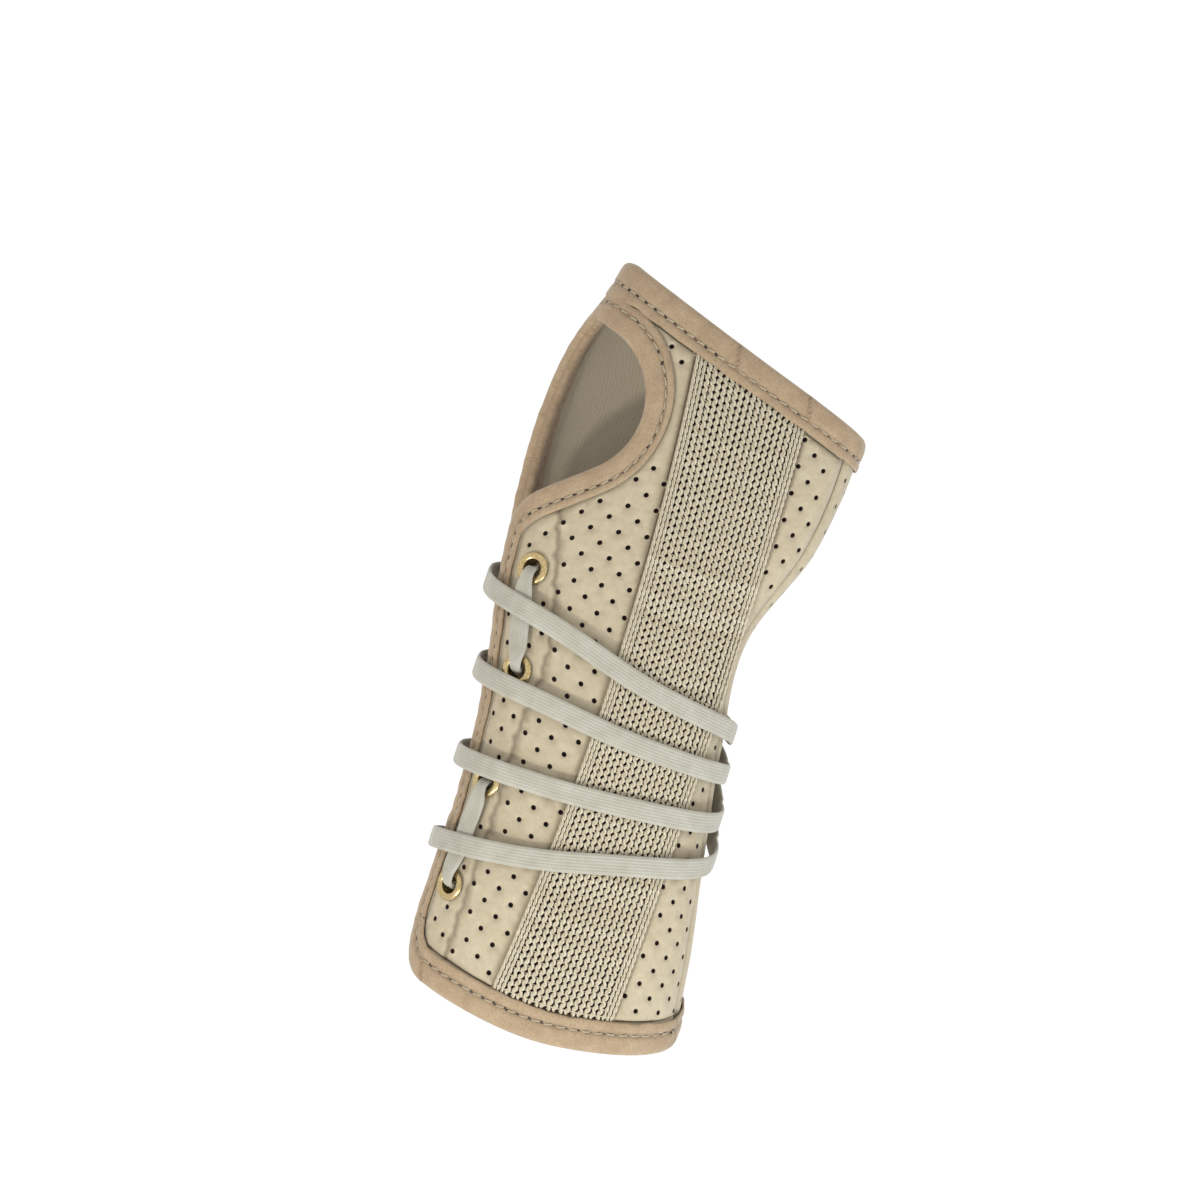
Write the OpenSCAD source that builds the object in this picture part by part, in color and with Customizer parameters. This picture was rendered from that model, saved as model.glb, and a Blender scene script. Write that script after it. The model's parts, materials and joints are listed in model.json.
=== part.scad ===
// Lace-up wrist splint for a left hand.
// +Z runs from the forearm to the fingers, -Y is the palm side and -X the thumb side.
// The origin is the middle of the arm passage at the wrist.

/* [Shell] */
// Height of the hand edge above the wrist, at the middle of the palm
hand_z = 106.5; // [100:0.5:110]
// Drop of the hand edge for each millimetre towards the little finger
hand_slope = 0.33; // [0.2:0.01:0.36]
// Height of the forearm edge at the thumb and little-finger sides
arm_z = -78; // [-82:0.5:-74]
// Extra reach of the forearm edge at the middle of the palm side
palm_droop = 11; // [4:0.5:12]
// Rise of the forearm edge at the middle of the back
back_rise = 4; // [0:0.5:6]
// Radius of the curve of the palm line, seen from the side
palm_r = 600; // [560:10:700]
// Thickness of the suede-finish panels
panel_t = 1.6; // [1.2:0.1:1.8]
// Thickness of the brushed lining
lining_t = 0.8; // [0.5:0.1:0.9]

/* [Edge tape] */
// Width of the folded edge tape
tape_w = 8; // [6:0.5:8]
// Width of the edge tape round the thumb hole
thumb_tape_w = 7; // [6:0.5:7]
// Thickness of one ply of the edge tape
tape_t = 0.6; // [0.4:0.1:0.6]

/* [Laced opening] */
// Angle of the palm flap's free edge, measured round the arm from the palm
palm_edge_angle = -77; // [-80:1:-74]
// Angle of the back flap's free edge
back_edge_angle = 263; // [260:1:266]
// Radius of the flaps' forearm corners
corner_r = 12; // [8:1:14]
// Bore radius of an eyelet
eyelet_bore_r = 2.5; // [2.4:0.05:2.7]
// Outer radius of an eyelet's rolled rim
eyelet_rim_r = 4.5; // [4.2:0.1:4.5]
// Width of the flat elastic lace
lace_w = 5.8; // [5:0.1:6]
// Thickness of the flat elastic lace
lace_t = 1.2; // [1:0.1:1.2]

/* [Webbing] */
// Width of the open-knit webbing strip at its ends
strip_w = 34.5; // [30:0.5:36]
// Thickness of the webbing strip
strip_t = 1; // [0.8:0.1:1.2]

/* [Palm stay] */
// Width of the metal stay
stay_w = 19; // [16:0.5:20]
// Thickness of the metal stay
stay_t = 1.4; // [1.2:0.1:1.5]
// Middle of the stay, across the palm
stay_x = -2; // [-3:0.5:-1]
// Lower end of the stay
stay_low_z = -77; // [-77:1:-70]
// Upper end of the stay
stay_high_z = 74; // [60:1:76]

/* [Pull tab] */
// Width of the pull tab that gathers the laces
tab_w = 34; // [32:1:36]
// Thickness of the pull tab
tab_t = 1.8; // [1.4:0.1:2]

/* [Hidden] */
$fn = 48;

suede = [0.78, 0.72, 0.62];
tape = [0.68, 0.60, 0.48];
cloth = [0.86, 0.82, 0.74];
webbing = [0.74, 0.69, 0.60];
elastic = [0.80, 0.79, 0.73];
brass = [0.80, 0.66, 0.36];

// Cross-sections of the arm passage, from the forearm to the fingers
first_station = -90;
station_step = 30;
centre_x = [3.25, 1.75, -0.75, -4.5, -8.5, -4.5, -2, 1];
half_width = [40.25, 38.75, 36.25, 35, 36.5, 43, 44, 39];
half_depth = [28, 27, 25, 23, 22, 21.5, 19.5, 17];
palm_power = 3;      // squareness of the palm half of a section
back_power = 2.2;    // squareness of the back half of a section
palm_y = -23.3;      // palm line at its lowest point
palm_apex = -20;     // height of that point
rim_station = 105;   // section that sets the slope of the hand edge

// Layers, as distances outwards from the outer skin of the edge tape
gap = 0.4;
panel_out = -tape_t - gap;
panel_in = panel_out - panel_t;
lining_out = panel_in - 0.1;
lining_in = lining_out - lining_t;
tape_in = lining_in - gap;
tape_low = tape_in - tape_t;
strip_in = -0.5;

// Angles round the arm: 0 is the palm, 90 the little-finger side, 180 the back, 270 the thumb side
seam_angle = 73;
seam_gap = 0.4;
strap_start = -70;
strap_end = -87;
strap_low = 104.4;

// Thumb notch: an arc in the palm panel with a straight run down to the flap
notch_x = -41.5;
notch_z = 80;
notch_r = 22.7;
notch_start = -50;
notch_end = 75;
notch_step = 12.5;

// Fold line of the back flap, straight when seen from the back
fold_low = [8, -80];
fold_high = [-46, 84];
fold_gap = 0.5;
flap_top = 74;

// Eyelets, as [angle, height]
palmar_eyelet = [[-55.5, 31.6], [-53.5, 4], [-55.5, -27], [-58, -57]];
dorsal_eyelet = [[-118, 29], [-118, 4.5], [-118, -21.5], [-118, -48]];
barrel_r = eyelet_bore_r + 0.4;
washer_r = 4.2;
barrel_end = lining_in - 1.8;

// Lace strands across the palm, as heights at the thumb side, the little-finger side and the tab
strand = [[26.8, 4.5, 7], [2.8, -6, -1], [-22.4, -17.7, -9], [-47.5, -27.7, -17]];
strand_sag = 2.4;    // how far a strand sags at the middle of the palm
lace_on_palm = 1.5;
lace_on_bridge = 2.4;
bridge_lift = 0.9;
tab_start = 118.4;
tab_end = 181;
tab_z = -5;
tab_lift = 1.5;

// A value from a list of evenly spaced stations, as a smooth curve through them
function station(list, i) = list[max(0, min(len(list) - 1, i))];
function along(list, z) =
    let (s = (z - first_station) / station_step,
         i = max(0, min(len(list) - 2, floor(s))),
         t = s - i,
         p0 = station(list, i - 1), p1 = station(list, i),
         p2 = station(list, i + 1), p3 = station(list, i + 2))
    p1 + 0.5 * t * (p2 - p0 + t * (2 * p0 - 5 * p1 + 4 * p2 - p3 + t * (3 * (p1 - p2) + p3 - p0)));
function palm_line(z) = palm_y + palm_r - sqrt(palm_r * palm_r - pow(z - palm_apex, 2));
function mix(a, b, t) = a + (b - a) * t;

// The point of the shell at p = [angle, height], moved outwards by off
function skin(p, off = 0) =
    let (a = along(half_width, p[1]), b = along(half_depth, p[1]),
         s = sin(p[0]), c = cos(p[0]),
         n = c > 0 ? palm_power : back_power,
         r = pow(pow(abs(s) / a, n) + pow(abs(c) / b, n), -1 / n),
         gx = sign(s) * pow(abs(s) * r / a, n - 1) / a,
         gy = -sign(c) * pow(abs(c) * r / b, n - 1) / b,
         g = norm([gx, gy]))
    [along(centre_x, p[1]) + r * s + off * gx / g, palm_line(p[1]) + b - r * c + off * gy / g, p[1]];

// The outward normal of the shell at p
function unit(v) = v / norm(v);
function normal(p) = unit(cross(skin([p[0] + 1, p[1]]) - skin([p[0] - 1, p[1]]),
    skin([p[0], p[1] + 1]) - skin([p[0], p[1] - 1])));

// The angle of the shell's point at x and height z, on the palm side or on the back
function angle_at(x, z, on_back = false) =
    let (n = on_back ? back_power : palm_power,
         dx = x - along(centre_x, z),
         u = min(0.9999, abs(dx) / along(half_width, z)),
         dy = along(half_depth, z) * pow(1 - pow(u, n), 1 / n),
         turn = atan2(dx, on_back ? -dy : dy))
    on_back && turn < 0 ? turn + 360 : turn;

// Heights of the two open edges, and the share of the way from one to the other
function hand_edge(angle) = hand_z - hand_slope * skin([angle, rim_station])[0];
function arm_edge(angle) = arm_z - (cos(angle) > 0 ? palm_droop : back_rise) * cos(angle);
function share(p) = (p[1] - arm_edge(p[0])) / (hand_edge(p[0]) - arm_edge(p[0]));
function place(angle, t) = [angle, mix(arm_edge(angle), hand_edge(angle), t)];

// Millimetres round the shell for one degree, and points set in from a path to its right
function metric(p) = norm(skin([p[0] + 0.5, p[1]]) - skin([p[0] - 0.5, p[1]]));
function heading(path, i, closed) =
    let (n = len(path),
         a = path[closed ? (i + n - 1) % n : max(0, i - 1)],
         b = path[closed ? (i + 1) % n : min(n - 1, i + 1)],
         turn = b[0] - a[0],
         v = [(turn < -180 ? turn + 360 : turn) * metric(path[i]), b[1] - a[1]])
    v / norm(v);
function inset(path, i, depth, closed) =
    let (h = heading(path, i, closed))
    [path[i][0] + depth * h[1] / metric(path[i]), path[i][1] - depth * h[0]];

// Triangles of a four-sided face
function quad(a, b, c, d) = [[a, b, c], [a, c, d]];

// A curved sheet between two layers. Each row is a pair of points, from left to right,
// and the rows go from the forearm to the fingers. The columns crowd towards both sides.
module sheet(rows, cols, outer, inner) {
    r = len(rows) - 1;
    size = (r + 1) * (cols + 1);
    points = [for (off = [outer, inner]) for (row = rows) for (j = [0 : cols])
        let (t = (1 - cos(180 * j / cols)) / 2, angle = mix(row[0][0], row[1][0], t))
        skin(place(angle, mix(share(row[0]), share(row[1]), t)), off)];
    function id(side, i, j) = side * size + i * (cols + 1) + j;
    faces = [
        for (i = [0 : r - 1]) for (j = [0 : cols - 1]) each concat(
            quad(id(0, i, j), id(0, i + 1, j), id(0, i + 1, j + 1), id(0, i, j + 1)),
            quad(id(1, i, j), id(1, i, j + 1), id(1, i + 1, j + 1), id(1, i + 1, j))),
        for (i = [0 : r - 1]) each concat(
            quad(id(1, i, 0), id(1, i + 1, 0), id(0, i + 1, 0), id(0, i, 0)),
            quad(id(0, i, cols), id(0, i + 1, cols), id(1, i + 1, cols), id(1, i, cols))),
        for (j = [0 : cols - 1]) each concat(
            quad(id(0, 0, j), id(0, 0, j + 1), id(1, 0, j + 1), id(1, 0, j)),
            quad(id(0, r, j + 1), id(0, r, j), id(1, r, j), id(1, r, j + 1)))
    ];
    polyhedron(points, faces);
}

// A solid of rings that share one outline. The outline is a thick line: its first half runs
// clockwise and its second half comes back.
module loft(rings, closed = false) {
    n = len(rings);
    m = len(rings[0]);
    half = m / 2;
    faces = [
        for (i = [0 : closed ? n - 1 : n - 2]) for (j = [0 : m - 1])
            let (a = i * m, b = (i + 1) % n * m, k = (j + 1) % m)
            each quad(a + j, b + j, b + k, a + k),
        if (!closed) for (k = [0 : half - 2]) each concat(
            quad(k, k + 1, m - 2 - k, m - 1 - k),
            quad((n - 1) * m + m - 1 - k, (n - 1) * m + m - 2 - k,
                 (n - 1) * m + k + 1, (n - 1) * m + k))
    ];
    polyhedron([for (ring = rings) each ring], faces);
}

// A strip that follows a path on the shell, with an outline of [depth, layer] points
module strip(path, outline, closed = false)
    loft([for (i = [0 : len(path) - 1])
        [for (p = outline) skin(inset(path, i, p[0], closed), p[1])]], closed);

// Outline of an edge tape folded over an edge, and of a flat strip from depth a to b
function folded(width) = [
    [width, tape_low], [width / 2, tape_low], [-gap - tape_t, tape_low],
    [-gap - tape_t, 0], [width / 2, 0], [width, 0],
    [width, -tape_t], [width / 2, -tape_t], [-gap, -tape_t],
    [-gap, tape_in], [width / 2, tape_in], [width, tape_in]
];
function flat(a, b, low, high) = [[a, low], [a, high], [b, high], [b, low]];

// Edge paths
function corner(edge, way) = [for (t = [0 : 15 : 90])
    let (wide = corner_r / metric([edge, arm_z]), angle = edge - way * wide * (1 - sin(t)))
    [angle, arm_edge(angle) + corner_r * (1 - cos(t))]];
palm_flap_edge = concat(corner(palm_edge_angle, -1),
    [for (z = [-50 : 17 : 35]) [palm_edge_angle, z]], [[palm_edge_angle + 1.5, 43], [-69.2, 49]]);
notch_edge = concat([[-58.5, 55.8]], [for (t = [notch_start : notch_step : notch_end])
    let (x = notch_x + notch_r * cos(t), z = notch_z + notch_r * sin(t)) [angle_at(x, z), z]]);
strap_edge = [[-72, 102.9], [-76, 103.6], [-79.5, 103.6], [-83, 102.6], [-85.5, 100.8]];
back_thumb_edge = [[-87, 98.5], [-88.4, 95], [-89.6, 90], [-90, 83], [-90.2, 77]];
flap_edge = concat(corner(back_edge_angle, 1),
    [for (z = [-48 : 21 : 36]) [back_edge_angle, z]],
    [[266, 52], [268.8, 64], [269.8, flap_top]]);

// Fold line at a share of the way up, found by a few rounds of correction
function fold_angle(z) = angle_at(
    mix(fold_low[0], fold_high[0], (z - fold_low[1]) / (fold_high[1] - fold_low[1])), z, true);
function fold_place(t, z, rounds = 5) =
    let (p = place(fold_angle(z), t)) rounds == 0 ? p : fold_place(t, p[1], rounds - 1);
function fold_point(t) = fold_place(t, mix(arm_z, hand_z, t));
function beside(p, distance) = [p[0] + distance / metric(p), p[1]];

// Rows of the panels
palm_rows = concat(
    [for (p = concat(palm_flap_edge, notch_edge)) [p, place(seam_angle - seam_gap, share(p))]],
    [for (t = [0.94, 0.97, 1]) [place(strap_start + seam_gap, t), place(seam_angle - seam_gap, t)]]);
fold_shares = [0, 0.04, 0.1, 0.2, 0.3, 0.4, 0.5, 0.6, 0.7, 0.775];
back_rows = concat(
    [for (t = fold_shares) [place(seam_angle + seam_gap, t), beside(fold_point(t), -fold_gap)]],
    [for (p = reversed(back_thumb_edge)) let (q = [p[0] + 360, p[1]]) [place(seam_angle + seam_gap, share(q)), q]],
    [for (t = [0.92, 0.96, 1])
        [place(seam_angle + seam_gap, t), place(360 + strap_end - seam_gap, t)]]);
flap_rows = [for (p = flap_edge) [beside(fold_point(share(p)), fold_gap), p]];
strap_rows = [for (k = [0 : 4]) [for (a = [strap_end, strap_start])
    place(a, mix(share([a, strap_low]), 1, k / 4))]];

// Webbing strip: its edges, seen from the palm side, bow towards the little finger
function strip_edge(z, side) =
    let (bow = 1 - pow((z - 10) / 98, 2))
    [angle_at(-strip_w / 3 + side * strip_w + bow * (side ? 2 : 5.8), z), z];
strip_low = arm_edge(0) + tape_w + 0.3;
strip_high = 92;
strip_rows = [for (k = [0 : 14]) let (t = k / 14) [for (side = [0, 1])
    let (p = strip_edge(mix(strip_low, strip_high, t), side), low = tape_w + 0.3)
    place(p[0], mix(low / 195, 1 - (low + 0.4) / 185, t))]];

// Turns local +Z to point out of the shell at p
module on_skin(p) {
    out = normal(p);
    translate(skin(p)) rotate([0, acos(out[2]), atan2(out[1], out[0])]) children();
}
module eyelet_holes(list)
    for (p = list) on_skin(p) translate([0, 0, -6]) cylinder(r = barrel_r + 0.3, h = 8);

// One eyelet: a rolled rim outside and a tube through the panel, turned over inside the washer
module eyelet(p)
    on_skin(p) rotate_extrude() polygon([
        [eyelet_bore_r, barrel_end], [barrel_r + 0.5, barrel_end], [barrel_r + 0.5, barrel_end + 0.3],
        [barrel_r, barrel_end + 0.35], [barrel_r, -0.65], [eyelet_rim_r, -0.65],
        [eyelet_rim_r, -0.4], [eyelet_rim_r - 0.3, -0.1], [eyelet_rim_r - 0.9, 0.05],
        [barrel_r + 0.1, 0], [eyelet_bore_r, -0.5]]);
module washer(p)
    on_skin(p) translate([0, 0, lining_in - 1.25])
        difference() {
            cylinder(r = washer_r, h = 0.5);
            translate([0, 0, -1]) cylinder(r = barrel_r + 0.05, h = 3);
        }

// Slice of the palm's curve between two heights, as an exact solid: depth inwards and width
function palm_angle(z) = asin((z - palm_apex) / palm_r);
module palm_slice(z0, z1, deep0, deep1, width)
    translate([stay_x, palm_y + palm_r, palm_apex]) rotate([0, 90, 0])
        rotate([0, 0, 270 - palm_angle(z1)])
            rotate_extrude(angle = palm_angle(z1) - palm_angle(z0), $fn = 200)
                translate([palm_r - deep1, -width / 2]) square([deep1 - deep0, width]);

// Lace: rings of [angle, height, layer, width, twist], where twist turns the width from
// upright (0) to round the arm (90)
module lace(route) {
    at = [for (s = route) skin([s[0], s[1]]) + s[2] * normal([s[0], s[1]])];
    last = len(at) - 1;
    loft([for (i = [0 : last])
        let (t = unit(at[min(last, i + 1)] - at[max(0, i - 1)]),
             round_arm = unit(skin([route[i][0] + 1, route[i][1]]) - skin([route[i][0] - 1, route[i][1]])),
             wish = [0, 0, 1] * cos(route[i][4]) + round_arm * sin(route[i][4]),
             w = unit(wish - (wish * t) * t) * route[i][3] / 2,
             h = unit(cross(t, w)) * lace_t / 2)
        [at[i] + w + h, at[i] + w - h, at[i] - w - h, at[i] - w + h]]);
}
function strand_z(k, angle) =
    let (s = (90 - angle) / 180) mix(strand[k][1], strand[k][0], s) - 4 * strand_sag * s * (1 - s);
// From the tab, round the little-finger side and across the palm to the back eyelet's outside
function strand_route(k, eye) = concat(
    [[tab_start - 1.2, strand[k][2], tab_lift + 0.9, lace_w, 0]],
    [for (t = [0 : 0.2 : 0.9]) [mix(tab_start - 4, 94, t),
        mix(strand[k][2], strand[k][1], t * t * (3 - 2 * t)), mix(tab_lift + 0.9, lace_on_palm, t), lace_w, 0]],
    [for (a = [88 : -8 : -80]) [a, strand_z(k, a), a < -40 ? lace_on_bridge : lace_on_palm, lace_w, 0]],
    [[-88, strand_z(k, -88), 2.2, lace_w, 0],
     [-96, mix(strand_z(k, -90), eye[1], 0.3), 1.9, lace_w, 0],
     [-104, mix(strand_z(k, -90), eye[1], 0.7), 1.7, lace_w, 0]]);
// Through the back eyelet, under the gap and up into the palm eyelet
function under_route(from, to) = concat(
    [for (s = [[9, 1.6, 5], [4.5, 1.5, 3.8], [1.4, 0.6, 3.2], [0, -1.2, 3], [0, -3.4, 3],
               [1.6, -5.4, 3.2], [4.6, -6.5, 4], [10, -6.6, 5.4]])
        [from[0] + s[0], from[1], s[1], s[2], 0]],
    [for (t = [0.4, 0.6]) [mix(from[0], to[0], t), mix(from[1], to[1], t), -6.6, lace_w, 0]],
    [for (s = [[10, -6.6, 5.4], [4.6, -6.5, 4], [1.6, -5.4, 3.2], [0, -3.5, 3]])
        [to[0] - s[0], to[1], s[1], s[2], 0]]);
// Out of a palm eyelet, down outside to the next one and in again
function bridge_route(high, low) = concat(
    [for (s = [[0, -2, 3, 45], [0, -0.5, 3, 90], [1, 0.8, 3.2, 90], [3, 1.3, 3.8, 90],
               [6, 1.1, 5.2, 90]]) [high[0], high[1] - s[0], s[1], s[2], s[3]]],
    [for (t = [0.35, 0.5, 0.65]) [mix(high[0], low[0], t), mix(high[1], low[1], t), bridge_lift,
        lace_w, 90]],
    [for (s = [[6, 1.1, 5.2, 90], [3, 1.3, 3.8, 90], [1, 0.8, 3.2, 90], [0, -0.5, 3, 90],
               [0, -2, 3, 45]]) [low[0], low[1] + s[0], s[1], s[2], s[3]]]);
function reversed(list) = [for (i = [len(list) - 1 : -1 : 0]) list[i]];
function lace_route(k) = concat(
    strand_route(k, dorsal_eyelet[k]), under_route(dorsal_eyelet[k], palmar_eyelet[k]),
    bridge_route(palmar_eyelet[k], palmar_eyelet[k + 1]),
    reversed(under_route(dorsal_eyelet[k + 1], palmar_eyelet[k + 1])),
    reversed(strand_route(k + 1, dorsal_eyelet[k + 1])));

// Boning beside a row of eyelets: a flat rod in a sewn channel inside the lining
palm_bone_path = [for (z = [-64 : 12 : 44]) [-39.4 - abs(z - 4) / 15, z]];
back_bone_path = [for (z = [-62 : 11 : 26]) [227, z]];
bone_half = 2;
bone_out = lining_in - 0.9;
bone_in = bone_out - 1;
function channel() = [
    [bone_half + 1, bone_in - 0.7], [0, bone_in - 0.7], [-bone_half - 1, bone_in - 0.7],
    [-bone_half - 1, lining_in - 0.4], [0, lining_in - 0.4], [bone_half + 1, lining_in - 0.4],
    [bone_half + 1, lining_in - 0.6], [0, lining_in - 0.6], [-bone_half - 0.4, lining_in - 0.6],
    [-bone_half - 0.4, bone_in - 0.3], [0, bone_in - 0.3], [bone_half + 1, bone_in - 0.3]
];

module palmar_panel() color(suede) difference() {
    sheet(palm_rows, 26, panel_out, panel_in);
    eyelet_holes(palmar_eyelet);
}
module palmar_lining() color(cloth) difference() {
    sheet(palm_rows, 26, lining_out, lining_in);
    eyelet_holes(palmar_eyelet);
}
module webbing_strip() color(webbing) sheet(strip_rows, 10, strip_in + strip_t, strip_in);
module web_strap() color(suede) sheet(strap_rows, 8, panel_out, panel_in);
module web_strap_lining() color(cloth) sheet(strap_rows, 8, lining_out, lining_in);
module dorsal_panel() color(suede) sheet(back_rows, 18, panel_out, panel_in);
module dorsal_lining() color(cloth) sheet(back_rows, 18, lining_out, lining_in);
module ulnar_seam_tape() color(tape)
    strip([for (t = [0.06 : 0.04 : 0.95]) place(seam_angle, t)],
        flat(-3, 3, lining_in - 0.9, lining_in - 0.4));
module hand_binding() color(tape)
    strip([for (a = [0 : 8 : 352]) place(a, 1)], folded(tape_w), true);
module thumb_binding() color(tape)
    strip(concat(notch_edge, strap_edge, back_thumb_edge), folded(thumb_tape_w));
module palmar_flap_binding() color(tape)
    strip(concat(palm_flap_edge, [[-61, 54.2]]), folded(thumb_tape_w));
module palmar_arm_binding() color(tape)
    strip([for (t = [1 : -1 / 14 : -0.01]) place(mix(palm_flap_edge[0][0] + 1.5, seam_angle - seam_gap, t), 0)],
        folded(tape_w));
module dorsal_arm_binding() color(tape)
    strip([for (t = [1 : -0.1 : -0.01]) place(mix(seam_angle + seam_gap, fold_point(0)[0] - 1.2, t), 0)],
        folded(tape_w));
module palmar_boning_channel() color(tape) strip(palm_bone_path, channel());
module palmar_boning() color("white") strip(palm_bone_path, flat(-bone_half, bone_half, bone_in, bone_out));
module palmar_eyelets() color(brass) for (p = palmar_eyelet) eyelet(p);
module palmar_washers() color(brass) for (p = palmar_eyelet) washer(p);

// Palm stay, its tips and the pocket that it slides in
pocket_out = 4.8;
pocket_wall = 0.6;
pocket_room = 2.3;
stay_out = pocket_out + pocket_wall + (pocket_room - stay_t) / 2;
tip_wall = 0.3;
tip_length = 9;
module palm_stay() color("silver")
    palm_slice(stay_low_z + 1, stay_high_z - 1, stay_out, stay_out + stay_t, stay_w);
module tip(z0, z1) difference() {
    palm_slice(z0, z1, stay_out - tip_wall, stay_out + stay_t + tip_wall, stay_w + 1.6);
    palm_slice(stay_low_z + 1, stay_high_z - 1, stay_out - 0.01, stay_out + stay_t + 0.01, stay_w + 0.04);
}
module stay_tips() color("white") {
    tip(stay_low_z, stay_low_z + tip_length);
    tip(stay_high_z - tip_length, stay_high_z);
}
module stay_pocket() color(cloth) difference() {
    palm_slice(stay_low_z - 1, stay_high_z + 3, pocket_out,
        pocket_out + pocket_room + 2 * pocket_wall, stay_w + 4);
    palm_slice(stay_low_z - 3, stay_high_z + 2, pocket_out + pocket_wall,
        pocket_out + pocket_wall + pocket_room, stay_w + 2.4);
}

module dorsal_flap() color(suede) difference() {
    sheet(flap_rows, 10, panel_out, panel_in);
    eyelet_holes(dorsal_eyelet);
}
module flap_lining() color(cloth) difference() {
    sheet(flap_rows, 10, lining_out, lining_in);
    eyelet_holes(dorsal_eyelet);
}
// The flap's tape runs down its free edge, round the corner and along the forearm edge
flap_tape_path = concat(reversed(flap_edge),
    [for (t = [0.15 : 0.17 : 1]) place(mix(flap_edge[0][0], fold_point(0)[0] + 2, t), 0)]);
module flap_binding() color(tape) strip(flap_tape_path, folded(thumb_tape_w));
module dorsal_boning_channel() color(tape) strip(back_bone_path, channel());
module dorsal_boning() color("white") strip(back_bone_path, flat(-bone_half, bone_half, bone_in, bone_out));
module dorsal_eyelets() color(brass) for (p = dorsal_eyelet) eyelet(p);
module dorsal_washers() color(brass) for (p = dorsal_eyelet) washer(p);

// Laces, the tab that gathers them and its hook-and-loop landing
module upper_lace() color(elastic) lace(lace_route(0));
module lower_lace() color(elastic) lace(lace_route(2));
function patch(a0, a1, z0, z1) = [for (z = [z0, z0 + 2, mix(z0, z1, 0.5), z1 - 2, z1])
    let (cut = z == z0 || z == z1 ? 3 : 0) [[a0 + cut, z], [a1 - cut, z]]];
module loop_patch() color(cloth)
    sheet(patch(121, 183, tab_z - tab_w / 2 - 6, tab_z + tab_w / 2 + 6), 12, 0.2, -0.7);
module pull_tab() color(suede)
    sheet(patch(tab_start, tab_end, tab_z - tab_w / 2, tab_z + tab_w / 2), 12, tab_lift + tab_t, tab_lift);
module hook_patch() color(tape)
    sheet(patch(140, tab_end - 2, tab_z - tab_w / 2 + 2, tab_z + tab_w / 2 - 2), 8, tab_lift - 0.2, 0.5);

palmar_panel();
palmar_lining();
webbing_strip();
web_strap();
web_strap_lining();
dorsal_panel();
dorsal_lining();
ulnar_seam_tape();
hand_binding();
thumb_binding();
palmar_flap_binding();
palmar_arm_binding();
dorsal_arm_binding();
palmar_boning_channel();
palmar_boning();
palmar_eyelets();
palmar_washers();
stay_pocket();
loop_patch();
upper_lace();
lower_lace();
palm_stay();
stay_tips();
dorsal_flap();
flap_lining();
flap_binding();
dorsal_boning_channel();
dorsal_boning();
dorsal_eyelets();
dorsal_washers();
pull_tab();
hook_patch();
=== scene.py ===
import json
import math

import bmesh
import bpy
import numpy as np
from mathutils import Matrix, Vector
from mathutils.geometry import delaunay_2d_cdt

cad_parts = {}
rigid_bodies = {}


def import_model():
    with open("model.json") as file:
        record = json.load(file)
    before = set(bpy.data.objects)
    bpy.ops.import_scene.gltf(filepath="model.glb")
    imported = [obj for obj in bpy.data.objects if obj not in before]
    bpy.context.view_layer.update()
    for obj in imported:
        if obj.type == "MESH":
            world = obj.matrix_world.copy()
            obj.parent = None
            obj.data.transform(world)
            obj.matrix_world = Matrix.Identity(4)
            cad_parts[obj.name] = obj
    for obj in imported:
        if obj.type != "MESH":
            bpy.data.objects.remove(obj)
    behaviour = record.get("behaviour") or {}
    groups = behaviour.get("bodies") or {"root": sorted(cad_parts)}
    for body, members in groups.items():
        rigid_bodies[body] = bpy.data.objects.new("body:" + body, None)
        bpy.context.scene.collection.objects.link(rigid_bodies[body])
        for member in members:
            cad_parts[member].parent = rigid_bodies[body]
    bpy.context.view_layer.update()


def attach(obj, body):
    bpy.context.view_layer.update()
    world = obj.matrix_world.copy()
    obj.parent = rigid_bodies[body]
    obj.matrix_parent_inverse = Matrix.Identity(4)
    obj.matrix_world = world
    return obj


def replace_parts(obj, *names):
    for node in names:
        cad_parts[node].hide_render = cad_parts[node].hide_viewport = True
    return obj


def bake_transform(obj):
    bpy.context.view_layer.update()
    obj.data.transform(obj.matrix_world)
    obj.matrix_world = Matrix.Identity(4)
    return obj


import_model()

MM = 0.001

# ---- the shell, as in the CAD model
# Everything below is in millimetres until a mesh is made. A point of the shell is
# (angle, height): angle 0 is the palm, 90 the little-finger side, 180 the back, 270 the thumb side.
FIRST_STATION, STATION_STEP = -90, 30
CENTRE_X = np.array([3.25, 1.75, -0.75, -4.5, -8.5, -4.5, -2, 1])
HALF_WIDTH = np.array([40.25, 38.75, 36.25, 35, 36.5, 43, 44, 39])
HALF_DEPTH = np.array([28, 27, 25, 23, 22, 21.5, 19.5, 17])
PALM_POWER, BACK_POWER = 3.0, 2.2
PALM_Y, PALM_APEX, PALM_R = -23.3, -20.0, 600.0
HAND_Z, HAND_SLOPE, RIM_STATION = 106.5, 0.33, 105.0
ARM_Z, PALM_DROOP, BACK_RISE = -78.0, 11.0, 4.0

# Layers, outwards from the skin of the edge tape
TAPE_T, GAP, PANEL_T, LINING_T = 0.6, 0.4, 1.6, 0.8
PANEL_OUT = -TAPE_T - GAP
PANEL_IN = PANEL_OUT - PANEL_T
LINING_OUT = PANEL_IN - 0.1
LINING_IN = LINING_OUT - LINING_T
TAPE_LOW = LINING_IN - GAP - TAPE_T

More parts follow.
